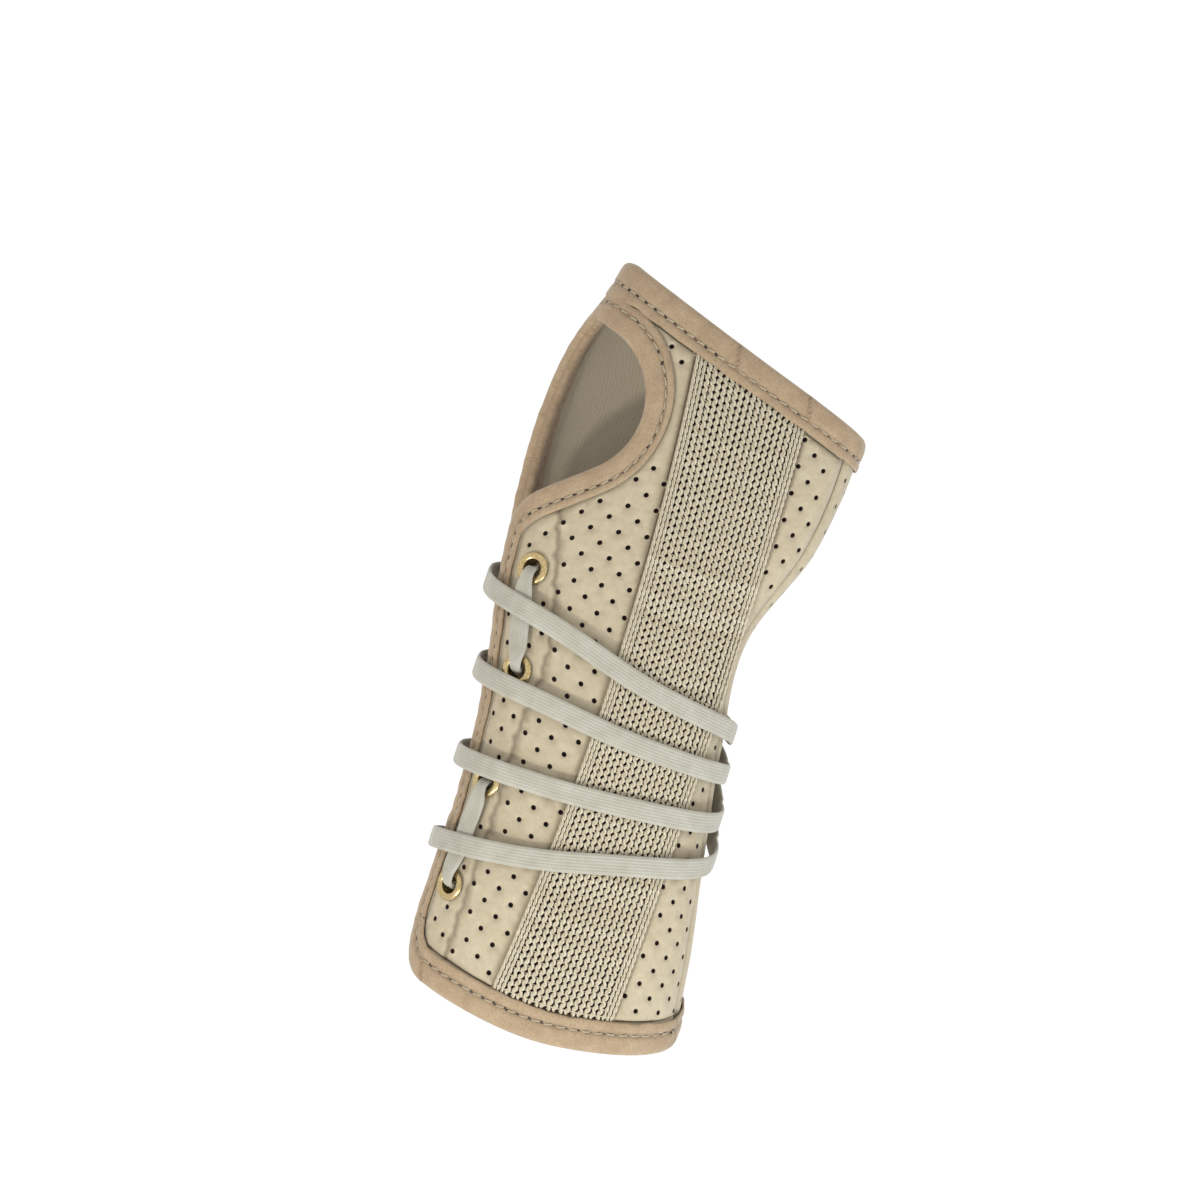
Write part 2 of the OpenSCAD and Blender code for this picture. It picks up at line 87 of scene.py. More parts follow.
TAPE_W, THUMB_TAPE_W = 8.0, 7.0
PALM_EDGE, BACK_EDGE, SEAM = -77.0, 263.0, 73.0
CORNER_R = 12.0
NOTCH_X, NOTCH_Z, NOTCH_R = -41.5, 80.0, 22.7
FOLD_LOW, FOLD_HIGH = (8.0, -80.0), (-46.0, 84.0)
PALMAR_EYELETS = [(-55.5, 31.6), (-53.5, 4), (-55.5, -27), (-58, -57)]
DORSAL_EYELETS = [(-118, 29), (-118, 4.5), (-118, -21.5), (-118, -48)]
EYELET_BORE, EYELET_RIM = 2.5, 4.5


def smooth(p0, p1, p2, p3, t):
    """A point of the smooth curve through p0 to p3, at t between 0, at p1, and 1, at p2."""
    return p1 + 0.5 * t * (p2 - p0 + t * (2 * p0 - 5 * p1 + 4 * p2 - p3 + t * (3 * (p1 - p2) + p3 - p0)))


def along(stations, z):
    """A smooth curve through evenly spaced stations."""
    s = (np.asarray(z, float) - FIRST_STATION) / STATION_STEP
    last = len(stations) - 1
    i = np.clip(np.floor(s), 0, last - 1).astype(int)
    return smooth(*(stations[np.clip(i + k, 0, last)] for k in (-1, 0, 1, 2)), s - i)


def palm_line(z):
    return PALM_Y + PALM_R - np.sqrt(PALM_R**2 - (np.asarray(z, float) - PALM_APEX) ** 2)


def section(angle, z):
    """Centre, outline point and outward direction of the shell's level section."""
    angle, z = np.broadcast_arrays(np.asarray(angle, float), np.asarray(z, float))
    a, b = along(HALF_WIDTH, z), along(HALF_DEPTH, z)
    s, c = np.sin(np.radians(angle)), np.cos(np.radians(angle))
    n = np.where(c > 0, PALM_POWER, BACK_POWER)
    r = ((np.abs(s) / a) ** n + (np.abs(c) / b) ** n) ** (-1 / n)
    gx = np.sign(s) * (np.abs(s) * r / a) ** (n - 1) / a
    gy = -np.sign(c) * (np.abs(c) * r / b) ** (n - 1) / b
    g = np.hypot(gx, gy)
    return along(CENTRE_X, z) + r * s, palm_line(z) + b - r * c, gx / g, gy / g


def join(*columns):
    """Points from their coordinates."""
    return np.stack(np.broadcast_arrays(*columns), -1)


def skin(angle, z, off=0.0):
    x, y, nx, ny = section(angle, z)
    return join(x + off * nx, y + off * ny, np.asarray(z, float))


def unit(v):
    return v / np.linalg.norm(v, axis=-1, keepdims=True)


def heading(points):
    """Unit direction along a line, at each of its points."""
    return unit(np.gradient(points, axis=0))


def turns(n):
    """Angles of n even stations round a ring."""
    return np.radians(np.arange(n) * 360 / n)


def normal(angle, z):
    across, up = skin(angle + 1, z) - skin(angle - 1, z), skin(angle, z + 1) - skin(angle, z - 1)
    return unit(np.cross(across, up))


def metric(angle, z):
    """Millimetres round the shell for one degree."""
    return np.linalg.norm(skin(angle + 0.5, z) - skin(angle - 0.5, z), axis=-1)


def angle_at(x, z, on_back=False):
    n = BACK_POWER if on_back else PALM_POWER
    dx = np.asarray(x, float) - along(CENTRE_X, z)
    u = np.minimum(0.9999, np.abs(dx) / along(HALF_WIDTH, z))
    dy = along(HALF_DEPTH, z) * (1 - u**n) ** (1 / n)
    turn = np.degrees(np.arctan2(dx, -dy if on_back else dy))
    return np.where(turn < 0, turn + 360, turn) if on_back else turn


def hand_edge(angle):
    return HAND_Z - HAND_SLOPE * skin(angle, RIM_STATION)[..., 0]


def arm_edge(angle):
    c = np.cos(np.radians(angle))
    return ARM_Z - np.where(c > 0, PALM_DROOP, BACK_RISE) * c


def height_at(angle, t):
    """Height at a share of the way from the forearm edge to the hand edge."""
    return arm_edge(angle) * (1 - t) + hand_edge(angle) * t


# The shell rolled out flat: distance round it from the middle of the palm, at each height
FLAT_STEP, EVEN_STEP = 2.0, 0.5
FLAT_Z = np.arange(-96, 128, FLAT_STEP)
FLAT_A = np.arange(-140, 291, 1.0)
_points = skin(FLAT_A[None, :], FLAT_Z[:, None])
_steps = np.linalg.norm(np.diff(_points, axis=1), axis=-1)
FLAT_U = np.concatenate([np.zeros((len(FLAT_Z), 1)), np.cumsum(_steps, 1)], 1)
FLAT_U -= FLAT_U[:, [int(-FLAT_A[0])]]
EVEN_U = np.arange(-80, 170, EVEN_STEP)
EVEN_A = np.array([np.interp(EVEN_U, at, FLAT_A) for at in FLAT_U])


def bilinear(table, row, col):
    row, col = np.broadcast_arrays(row, col)
    i = np.clip(np.floor(row), 0, table.shape[0] - 2).astype(int)
    j = np.clip(np.floor(col), 0, table.shape[1] - 2).astype(int)
    a, b = row - i, col - j
    low = table[i, j] * (1 - b) + table[i, j + 1] * b
    high = table[i + 1, j] * (1 - b) + table[i + 1, j + 1] * b
    return low * (1 - a) + high * a


def to_flat(angle, z):
    return bilinear(FLAT_U, (z - FLAT_Z[0]) / FLAT_STEP, np.asarray(angle, float) - FLAT_A[0])


def from_flat(u, z):
    return bilinear(EVEN_A, (z - FLAT_Z[0]) / FLAT_STEP, (np.asarray(u, float) - EVEN_U[0]) / EVEN_STEP)


# ---- edges of the panels
def corner(edge, way):
    t = np.radians(np.arange(0, 91, 7.5))
    wide = CORNER_R / metric(edge, ARM_Z)
    angle = edge - way * wide * (1 - np.sin(t))
    return join(angle, arm_edge(angle) + CORNER_R * (1 - np.cos(t)))


def notch_arc():
    t = np.radians(np.linspace(-50, 75, 21))
    x, z = NOTCH_X + NOTCH_R * np.cos(t), NOTCH_Z + NOTCH_R * np.sin(t)
    return join(angle_at(x, z), z)


def path(*parts):
    return np.concatenate([np.asarray(p, float).reshape(-1, 2) for p in parts])


PALM_FLAP = path(corner(PALM_EDGE, -1), [(PALM_EDGE, z) for z in (-50, -33, -16, 1, 18, 35)],
                 (PALM_EDGE + 1.5, 43), (-69.2, 49))
NOTCH = path((-58.5, 55.8), notch_arc())
STRAP_LOW = path((-72, 102.9), (-76, 103.6), (-79.5, 103.6), (-83, 102.6), (-85.5, 100.8))
THUMB_BACK = path((-87, 98.5), (-88.4, 95), (-89.6, 90), (-90, 83), (-90.2, 77))
BACK_FLAP = path(corner(BACK_EDGE, 1), [(BACK_EDGE, z) for z in (-48, -27, -6, 15, 36)],
                 (266, 52), (268.8, 64), (269.8, 74))


def path_length(points):
    """Distance along a path to each of its points."""
    return np.concatenate([[0], np.cumsum(np.linalg.norm(np.diff(points, axis=0), axis=1))])


def resample(points, step, closed=False):
    """Even stations along a path, on a smooth curve through its points."""
    pts = np.asarray(points, float)
    n = len(pts)
    k = np.arange(n if closed else n - 1)

    def pick(i):
        return pts[i % n] if closed else pts[np.clip(i, 0, n - 1)]

    p0, p1, p2, p3 = pick(k - 1), pick(k), pick(k + 1), pick(k + 2)
    if closed:
        for p, q in ((p2, p1), (p3, p2)):
            p[:, 0] += np.where(p[:, 0] < q[:, 0] - 180, 360, 0)
        p0[:, 0] -= np.where(p0[:, 0] > p1[:, 0] + 180, 360, 0)
    t = np.linspace(0, 1, 12, endpoint=False)[None, :, None]
    dense = smooth(*(p[:, None, :] for p in (p0, p1, p2, p3)), t).reshape(-1, 2)
    dense = np.concatenate([dense, pts[:1] + [[360, 0]] if closed else pts[-1:]])
    length = path_length(skin(*dense.T))
    s = np.linspace(0, length[-1], max(2, round(length[-1] / step)) + 1)
    if closed:
        s = s[:-1]
    return np.stack([np.interp(s, length, dense[:, i]) for i in (0, 1)], 1), s


def inward(pts, closed=False):
    """Unit direction to the right of a path, in millimetres round and up the shell."""
    if closed:
        ahead, behind = np.roll(pts, -1, 0), np.roll(pts, 1, 0)
    else:
        ahead, behind = np.vstack([pts[1:], pts[-1:]]), np.vstack([pts[:1], pts[:-1]])
    step = ahead - behind
    step[:, 0] = (step[:, 0] + 180) % 360 - 180
    m = metric(*pts.T)
    way = unit(join(step[:, 0] * m, step[:, 1]))
    return join(way[:, 1], -way[:, 0]), m


def shifted(pts, inwards, depth):
    """A path moved sideways, with what inward() gave for it."""
    way, m = inwards
    return join(pts[:, 0] + depth * way[:, 0] / m, pts[:, 1] + depth * way[:, 1])


def inset(pts, depth, closed=False):
    return shifted(pts, inward(pts, closed), depth)


def fold_angle(z):
    t = (z - FOLD_LOW[1]) / (FOLD_HIGH[1] - FOLD_LOW[1])
    return angle_at(FOLD_LOW[0] + (FOLD_HIGH[0] - FOLD_LOW[0]) * t, z, True)


def waves(p, size, seed, octaves=3):
    """Soft random relief between about -1 and 1, from sines in fixed directions."""
    rng = np.random.default_rng(seed)
    total = np.zeros(p.shape[:-1])
    for _ in range(octaves * 3):
        way = unit(rng.normal(size=3))
        total += np.sin(p @ way * (2 * math.pi / size * rng.uniform(0.6, 1.7)) + rng.uniform(0, 6.28))
    return total / math.sqrt(octaves * 4.5)


def relief(angle, z):
    """The gentle unevenness that all the layers of the sewn shell share."""
    p = skin(angle, z)
    return 0.2 * waves(p, 42, 3) + 0.07 * waves(p, 15, 4)


def cloth(angle, z, layer):
    """Points on a layer of the sewn shell."""
    return skin(angle, z, layer + relief(angle, z))


# ---- making meshes
def new_object(name, data):
    obj = bpy.data.objects.new(name, data)
    bpy.context.collection.objects.link(obj)
    return obj


class Pile:
    """Gathers the vertices and faces of one piece. flat holds millimetres along and across the cloth, and
    the depth in a pit or the share of painted crease shade."""

    def __init__(self):
        self.verts, self.faces, self.flat, self.slots, self.count = [], [], [], [], 0

    def add(self, verts, faces, flat=None, slot=0):
        verts = np.asarray(verts, float).reshape(-1, 3)
        turn = -1 if self.volume(verts, faces) < 0 else 1
        self.verts.append(verts)
        self.flat.append(np.zeros_like(verts) if flat is None else np.asarray(flat, float).reshape(-1, 3))
        self.faces.extend([[int(k) + self.count for k in f][::turn] for f in faces])
        self.slots.extend([slot] * len(faces))
        self.count += len(verts)

    @staticmethod
    def volume(verts, faces):
        """Six times the volume inside, which is negative where the faces look inwards."""
        total = 0.0
        for n in sorted({len(f) for f in faces}):
            f = np.array([f for f in faces if len(f) == n])
            for k in range(1, n - 1):
                a, b, c = verts[f[:, 0]], verts[f[:, k]], verts[f[:, k + 1]]
                total += np.einsum("ij,ij->", np.cross(a, b), c)
        return total

    def piece(self, name, body, slot, *materials):
        mesh = bpy.data.meshes.new(name)
        mesh.from_pydata((np.concatenate(self.verts) * MM).tolist(), [], self.faces)
        layer = mesh.attributes.new("flat", "FLOAT_VECTOR", "POINT")
        layer.data.foreach_set("vector", np.concatenate(self.flat).astype(np.float32).ravel())
        mesh.polygons.foreach_set("material_index", self.slots)
        mesh.polygons.foreach_set("use_smooth", [len(face) < 5 for face in self.faces])
        for material in materials:
            mesh.materials.append(material)
        obj = new_object(name, mesh)
        if body:
            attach(obj, body)
        return obj


def grid(rows, cols, ring=False):
    """Faces between rows of points. Each row is a ring, and the rows may make one too."""
    i = np.arange(rows if ring else rows - 1)[:, None]
    j = np.arange(cols)[None, :]
    ii, jj = (i + 1) % rows, (j + 1) % cols
    quads = join(i * cols + j, ii * cols + j, ii * cols + jj, i * cols + jj)
    return quads.reshape(-1, 4).tolist()


def sweep(pile, rings, flat=None, closed=False, slot=0):
    """A skin over rings of points, with a flat cap at each open end."""
    n, m = rings.shape[:2]
    faces = grid(n, m, closed)
    if not closed:
        faces += [list(range(m))[::-1], list(range((n - 1) * m, n * m))]
    pile.add(rings.reshape(-1, 3), faces, None if flat is None else flat.reshape(-1, 3), slot)


def tube(pile, points, radius, sides, flat=None):
    """A round thread along points."""
    points = np.asarray(points, float)
    way = heading(points)
    side = unit(np.cross(way, [0.31, 0.87, 0.38]))
    up = np.cross(way, side)
    turn = turns(sides)[None, :, None]
    radius = np.broadcast_to(radius, len(points))[:, None, None]
    rings = points[:, None] + radius * (np.cos(turn) * side[:, None] + np.sin(turn) * up[:, None])
    sweep(pile, rings, flat)


def inside(points, loop):
    x, y = points[:, :1], points[:, 1:]
    a, b = loop, np.roll(loop, -1, 0)
    dy = np.where(b[:, 1] == a[:, 1], 1e-9, b[:, 1] - a[:, 1])
    cross = ((a[:, 1] > y) != (b[:, 1] > y)) & (x < (b[:, 0] - a[:, 0]) * (y - a[:, 1]) / dy + a[:, 0])
    return cross.sum(1) % 2 == 1


def nearest(points, line):
    """Distance from each point to the nearest station of a line, and that station's number."""
    gap = np.sqrt(((points[:, None] - line[None]) ** 2).sum(-1))
    number = gap.argmin(1)
    return gap[np.arange(len(points)), number], number


def distance(points, line):
    return nearest(points, line)[0]


def clear_of(points, spots, room):
    """The points that lie farther than room from every spot."""
    return points[distance(points, np.array(spots)) > room] if len(spots) else points


def bell(x, width):
    return np.exp(-((x / width) ** 2))


def side_rows(line, shifts):
    """Copies of a flat line, each shifted sideways."""
    way = heading(line)
    across = join(-way[:, 1], way[:, 0])
    return np.concatenate([line + shift * across for shift in shifts])


def mesh_flat(loops, extra):
    """Triangles between closed loops, the first outside and the others holes, through extra points."""
    count, edges, starts = 0, [], []
    for loop in loops:
        k = np.arange(len(loop))
        edges += (join(k, (k + 1) % len(loop)) + count).tolist()
        starts.append(count)
        count += len(loop)
    points = np.concatenate(list(loops) + [extra])
    out = delaunay_2d_cdt([tuple(p) for p in points.tolist()], edges, [], 0, 1e-5)
    verts = np.array([tuple(v) for v in out[0]])
    tris = np.array([tuple(f) for f in out[2]])
    place_of = {old: new for new, olds in enumerate(out[3]) for old in olds}
    middle = verts[tris].mean(1)
    keep = inside(middle, loops[0])
    for loop in loops[1:]:
        centre = loop.mean(0)
        keep &= np.linalg.norm(middle - centre, axis=1) >= np.linalg.norm(loop[0] - centre)
    rings = [[place_of[s + i] for i in range(len(loop))] for s, loop in zip(starts, loops)]
    return verts, tris[keep], rings


def circle(centre, radius, sides):
    t = turns(sides)
    return np.asarray(centre) + radius * join(np.cos(t), np.sin(t))


def flat_path(points):
    return join(to_flat(*points.T), points[:, 1])


def lattice(loop, spacing, tilt):
    """Points of a square lattice inside a loop, with its first axis tilted by some degrees."""
    low, high = loop.min(0), loop.max(0)
    reach = int(np.linalg.norm(high - low) / spacing)
    k = np.arange(-reach, reach + 1) * spacing
    a, b = (side.ravel() for side in np.meshgrid(k, k))
    c, s = math.cos(math.radians(tilt)), math.sin(math.radians(tilt))
    p = join(a * c - b * s, a * s + b * c) + (low + high) / 2
    return p[inside(p, loop)]


PIT_R, PIT_DEPTH, PIT_PITCH, PIT_TILT = 0.76, 1.0, 5.4, 53.0
SLOT_HALF, STEP_WIDE, STEP_DEEP = 0.36, 0.9, 0.5
FULL_CREASE_SHADE = 0.1  # what flat's depth holds where the painted crease shade is full
OUTLINE_STEP, BORDER_STEP, FACE_STEP, UNDER_STEP, FACE_TILT = 1.6, 0.8, 2.6, 5.0, 8


def panel(pile, outline, high, low, keep_off=(), eyelets=(), pits=True,
          dents=(), slots=(), steps=(), roll=()):
    """A sewn panel between two layers, inside an outline of smooth runs. keep_off lists lines with the
    distance that pits stay from them. Dents are sewn lines that sink in, slots are narrow grooves with
    their depths and a line of painted shade, steps are lines whose thumb side lies lower with a band of
    painted shade at their foot, and roll lists edges that turn down."""
    loop = flat_path(np.concatenate([resample(run, OUTLINE_STEP)[0][:-1] for run in outline]))
    border = flat_path(np.concatenate([resample(run, BORDER_STEP)[0] for run in outline]))
    holes = [flat_path(np.array([e]))[0] for e in eyelets]
    base_loops = [loop] + [circle(h, EYELET_BORE + 0.7, 20) for h in holes]
    centres = np.zeros((0, 2))
    if pits:
        centres = lattice(loop, PIT_PITCH, PIT_TILT)
        for line, margin in keep_off:
            centres = clear_of(centres, line, margin)
        centres = clear_of(centres, holes, EYELET_RIM + 1.0)

    # Points of the mesh: rows along each sewn line, and a lattice between them
    rows = [(line, (-0.7, 0, 0.7), 0.9) for line in dents]
    rows += [(line, (-SLOT_HALF, 0, SLOT_HALF), 0.7) for line, _ in slots]
    rows += [(line, (-0.2, STEP_WIDE / 2, STEP_WIDE), 0.8) for line in steps]
    extra = clear_of(lattice(loop, FACE_STEP, FACE_TILT), border, 1.1)
    for line, _, room in rows:
        extra = clear_of(extra, line, room)
    extra = clear_of(clear_of(extra, centres, 1.35), holes, EYELET_BORE + 1.5)
    for line, shifts, _ in rows:
        new = side_rows(line, shifts)
        new = clear_of(new[inside(new, loop)], border, 0.8)
        extra = np.concatenate([extra, clear_of(clear_of(new, centres, 1.0), holes, EYELET_BORE + 1.1)])
    verts, tris, rings = mesh_flat(base_loops + [circle(c, PIT_R, 8) for c in centres], extra)
    under, under_tris, under_rings = mesh_flat(base_loops, lattice(loop, UNDER_STEP, FACE_TILT))

    sink, crease_shade = np.zeros(len(verts)), np.zeros(len(verts))
    for line in dents:
        sink = np.minimum(sink, -0.5 * bell(distance(verts, line), 0.55))
    # Painted shade: a dark line along each slot, as strong as the slot is deep
    for line, depth in slots:
        gap, number = nearest(verts, line)
        near = np.broadcast_to(depth, len(line))[number] * bell(gap, SLOT_HALF * 0.7)
        sink, crease_shade = np.minimum(sink, -near), np.maximum(crease_shade, FULL_CREASE_SHADE * near)
    for line in steps:
        gap, number = nearest(verts, line)
        way = heading(line)[number]
        off = verts - line[number]
        gap = gap * np.sign(way[:, 0] * off[:, 1] - way[:, 1] * off[:, 0])
        sink -= STEP_DEEP * np.clip(gap / STEP_WIDE, 0, 1) * bell(gap, 7)
        # Painted shade: a soft brown band at the foot of the step, on its lower side
        crease_shade = np.maximum(crease_shade, 0.7 * FULL_CREASE_SHADE * bell(gap - STEP_WIDE, 0.8))
    for line in roll:
        sink -= 0.75 * bell(distance(verts, line), 0.9)
    for h in holes:
        sink -= 0.12 * bell(np.linalg.norm(verts - h, axis=1) - 4.6, 0.8)

    def solid(flat, layer):
        return cloth(from_flat(*flat.T), flat[:, 1], layer)

    points, flats = [solid(verts, high + sink), solid(under, low)], [verts, under]
    pit = [crease_shade, np.zeros(len(under))]
    faces = tris.tolist() + (under_tris[:, ::-1] + len(verts)).tolist()
    for top, bottom in zip(rings, under_rings):
        n = len(top)
        faces += [[top[(k + 1) % n], top[k], bottom[k] + len(verts), bottom[(k + 1) % n] + len(verts)]
                  for k in range(n)]
    count = len(verts) + len(under)
    for centre, ring in zip(centres, rings[len(base_loops):]):
        n, around = len(ring), verts[ring]
        for shrink, deep in ((0.9, 0.3), (0.84, PIT_DEPTH)):
            level = centre + (around - centre) * shrink
            points.append(solid(level, high - deep))
            pit.append(np.full(n, deep))
            flats.append(level)
            new = list(range(count, count + n))
            faces += [[ring[k], ring[(k + 1) % n], new[(k + 1) % n], new[k]] for k in range(n)]
            count += n
            ring = new
        faces.append(ring)
    points = np.concatenate(points)
    flat = join(*np.concatenate(flats).T, np.concatenate(pit))
    pile.add(points, wind(points, faces), flat)


def wind(verts, faces):
    """Turns each face of a panel to agree with its neighbours."""
    mesh = bpy.data.meshes.new("wind")
    mesh.from_pydata(verts.tolist(), [], faces)
    work = bmesh.new()
    work.from_mesh(mesh)
    bmesh.ops.recalc_face_normals(work, faces=work.faces)
    work.faces.ensure_lookup_table()
    out = [[v.index for v in f.verts] for f in work.faces]
    work.free()
    bpy.data.meshes.remove(mesh)
    return out


# ---- edge tapes
PITCH = 3.5  # of the stitches
THREAD_DEPTH = 0.36  # of the stitches in a tape's groove


def tape_groove(width):
    return 0.66 * width


def tape_outline(width):
    """Section of a folded tape, from the outer lip round to the inner one: depth from the edge, layer."""
    g = tape_groove(width)
    out = [(width, -0.6), (width + 0.08, -0.3), (width - 0.2, -0.02), (width - 0.9, 0.1), (g + 0.8, 0.08),
           (g + 0.35, -0.22), (g, -0.4), (g - 0.35, -0.22), (g - 0.85, 0.12), (g * 0.62, 0.2),
           (g * 0.35, 0.2), (0.7, 0.1), (-0.1, -0.1), (-0.7, -0.55), (-1.0, -1.2), (-1.05, -1.9)]
    back = [(d, TAPE_LOW - o) for d, o in out[::-1]]
    tape_in = TAPE_LOW + TAPE_T
    return np.array(out + back + [(width - 0.05, tape_in), (width * 0.5, tape_in), (-0.4, tape_in),
                                  (-0.4, -0.64), (width * 0.5, -0.64), (width - 0.05, -0.64)])


def tuck(s, start, depth):
    """Height of a small slanted tuck across a tape, sharp on one side, and the painted shade at its foot.
    """
    past = s - start - 0.6 * depth
    return 0.75 * np.clip(past / 0.7, 0, 1) * np.exp(-np.maximum(past, 0) / 1.8), bell(past, 0.5)


def tape(pile, points, width, closed, widen, tucks, seed):
    """A folded, puckered tape along an edge path. tucks are places near the path."""
    pts, s = resample(points, PITCH / 5, closed)
    inwards = inward(pts, closed)
    folds = [s[nearest(np.array([spot], float), pts)[1][0]] for spot in tucks]
    g = tape_groove(width)
    sway, pucker = (waves(skin(*pts.T), size, seed + k) for k, size in enumerate((9, 5)))
    extra = widen(pts)
    beat = np.cos(2 * math.pi * s / PITCH)
    rings, flats = [], []
    for d, o in tape_outline(width):
        lip = max(0.0, (d - g) / (width - g))
        inner = o < -2
        near = bell(d - g, 0.7)
        lift = 0.12 * beat * near + 0.09 * pucker * (0 if d < -0.5 else 1)
        lift = lift + 0.35 * lip * np.clip(extra - 1, 0, 1)
        # Painted shade: darker along the stitch groove and at the foot of each tuck
        shade = near * (0.42 + 0.16 * pucker)
        for start in () if inner else folds:
            rise, foot_shade = tuck(s, start, d)
            fade = min(1.0, max(0.0, (g + 1 - d) / 2))
            lift, shade = lift + fade * rise, np.maximum(shade, 0.7 * fade * foot_shade)
        angle, z = shifted(pts, inwards, d + lip * (0.16 * sway + extra)).T
        rings.append(cloth(angle, z, o + (-lift if inner else lift)))
        flats.append(join(s, d + (20 if inner else 0), FULL_CREASE_SHADE * shade))
    sweep(pile, np.stack(rings, 1), np.stack(flats, 1), closed)


# ---- stitching
STITCH, SLANT = 2.75, 7.0


def surface_run(points, layer, closed=False):
    """Stations one stitch apart on a line of the shell: place, direction and outward normal."""
    angle, z = resample(points, PITCH, closed)[0].T
    p = cloth(angle, z, layer)
    ahead = np.roll(p, -1, 0) if closed else np.vstack([p[1:], 2 * p[-1:] - p[-2:-1]])
    out = normal(angle, z)
    return (p + ahead) / 2, unit(ahead - p), -out if layer < -2 else out


def thread_row(pile, run, seed, radius=0.25, holes=True):
    """A row of sewn threads, each dipping into its two needle holes."""
    rng = np.random.default_rng(seed)
    for centre, way, out in zip(*run):
        side = np.cross(out, way)
        tilt = math.radians(SLANT + rng.normal(0, 3))
        way = way * math.cos(tilt) + side * math.sin(tilt)
        t = np.linspace(-1, 1, 7)[:, None]
        size = STITCH * rng.uniform(0.93, 1.06)
        line = centre + way * t * size / 2 + out * (0.2 - 0.55 * np.abs(t) ** 3 + rng.normal(0, 0.02))
        tube(pile, line, radius * (1 - 0.25 * np.abs(t[:, 0]) ** 4), 6,
             np.broadcast_to(np.linspace(0, size, 7)[:, None, None] * [1, 0, 0], (7, 6, 3)))
        # Painted shade: a dark plug in each needle hole, where there is only the hole's shade
        for end in (-1, 1) if holes else ():
            spot = centre + way * end * (size / 2 + 0.12)
            ring = circle((0, 0), 0.36, 6)
            disc = [spot + way * x * 1.3 + side * y + out * 0.06 for x, y in ring]
            low = [spot + way * x + side * y - out * 0.25 for x, y in ring]
            sweep(pile, np.array([low, disc]), slot=1)


# ---- laces
LACE_W, LACE_T = 5.8, 1.2
STRANDS = [(26.8, 4.5, 7), (2.8, -6, -1), (-22.4, -17.7, -9), (-47.5, -27.7, -17)]
STRAND_SAG, LACE_ON_PALM, LACE_ON_BRIDGE, BRIDGE_LIFT = 2.4, 1.5, 2.4, 0.9
TAB_START, TAB_END, TAB_Z, TAB_W, TAB_LIFT, TAB_T = 118.4, 181.0, -5.0, 34.0, 1.5, 1.8


def mix(a, b, t):
    return a + (b - a) * t


def strand_z(k, angle):
    s = (90 - angle) / 180
    return mix(STRANDS[k][1], STRANDS[k][0], s) - 4 * STRAND_SAG * s * (1 - s)


def side_part(k):
    """From the tab round the little-finger side. A station is its angle, height and layer, and where
    they aren't the usual ones, its width and twist."""
    z, on_tab = (STRANDS[k][2], STRANDS[k][1]), TAB_LIFT + 0.9
    return ([(TAB_START + d, z[0], on_tab) for d in (5, -1.2)]
            + [(mix(TAB_START - 4, 94, t), mix(*z, t * t * (3 - 2 * t)), mix(on_tab, LACE_ON_PALM, t))
               for t in (0, 0.2, 0.4, 0.6, 0.8)])


def palm_part(k):
    return [(a, strand_z(k, a), LACE_ON_BRIDGE if a < -40 else LACE_ON_PALM)
            for a in range(88, -73, -8)]


def edge_part(k):
    z, eye = strand_z(k, -90), DORSAL_EYELETS[k][1]
    return [(-80, strand_z(k, -80), LACE_ON_BRIDGE), (-88, strand_z(k, -88), 2.2),
            (-96, mix(z, eye, 0.3), 1.9), (-104, mix(z, eye, 0.7), 1.7)]


def under_part(k):
    a, b = DORSAL_EYELETS[k], PALMAR_EYELETS[k]
    near = [(9, 1.6, 5), (4.5, 1.5, 3.8), (1.4, 0.6, 3.2), (0, -1.2, 3), (0, -3.4, 3), (1.6, -5.4, 3.2),
            (4.6, -6.5, 4), (10, -6.6, 5.4)]
    far = [(10, -6.6, 5.4), (4.6, -6.5, 4), (1.6, -5.4, 3.2), (0, -3.5, 3)]
    return ([(a[0] + d, a[1], o, w) for d, o, w in near]
            + [(mix(a[0], b[0], t), mix(a[1], b[1], t), -6.6) for t in (0.4, 0.6)]
            + [(b[0] - d, b[1], o, w) for d, o, w in far])


def bridge_part(k):
    high, low = PALMAR_EYELETS[k], PALMAR_EYELETS[k + 1]
    turn = [(0, -2, 3, 45), (0, -0.5, 3, 90), (1, 0.8, 3.2, 90), (3, 1.3, 3.8, 90), (6, 1.1, 5.2, 90)]
    return ([(high[0], high[1] - d, o, w, t) for d, o, w, t in turn]
            + [(mix(high[0], low[0], t), mix(high[1], low[1], t), BRIDGE_LIFT, LACE_W, 90)
               for t in (0.35, 0.5, 0.65)]
            + [(low[0], low[1] + d, o, w, t) for d, o, w, t in turn[::-1]])


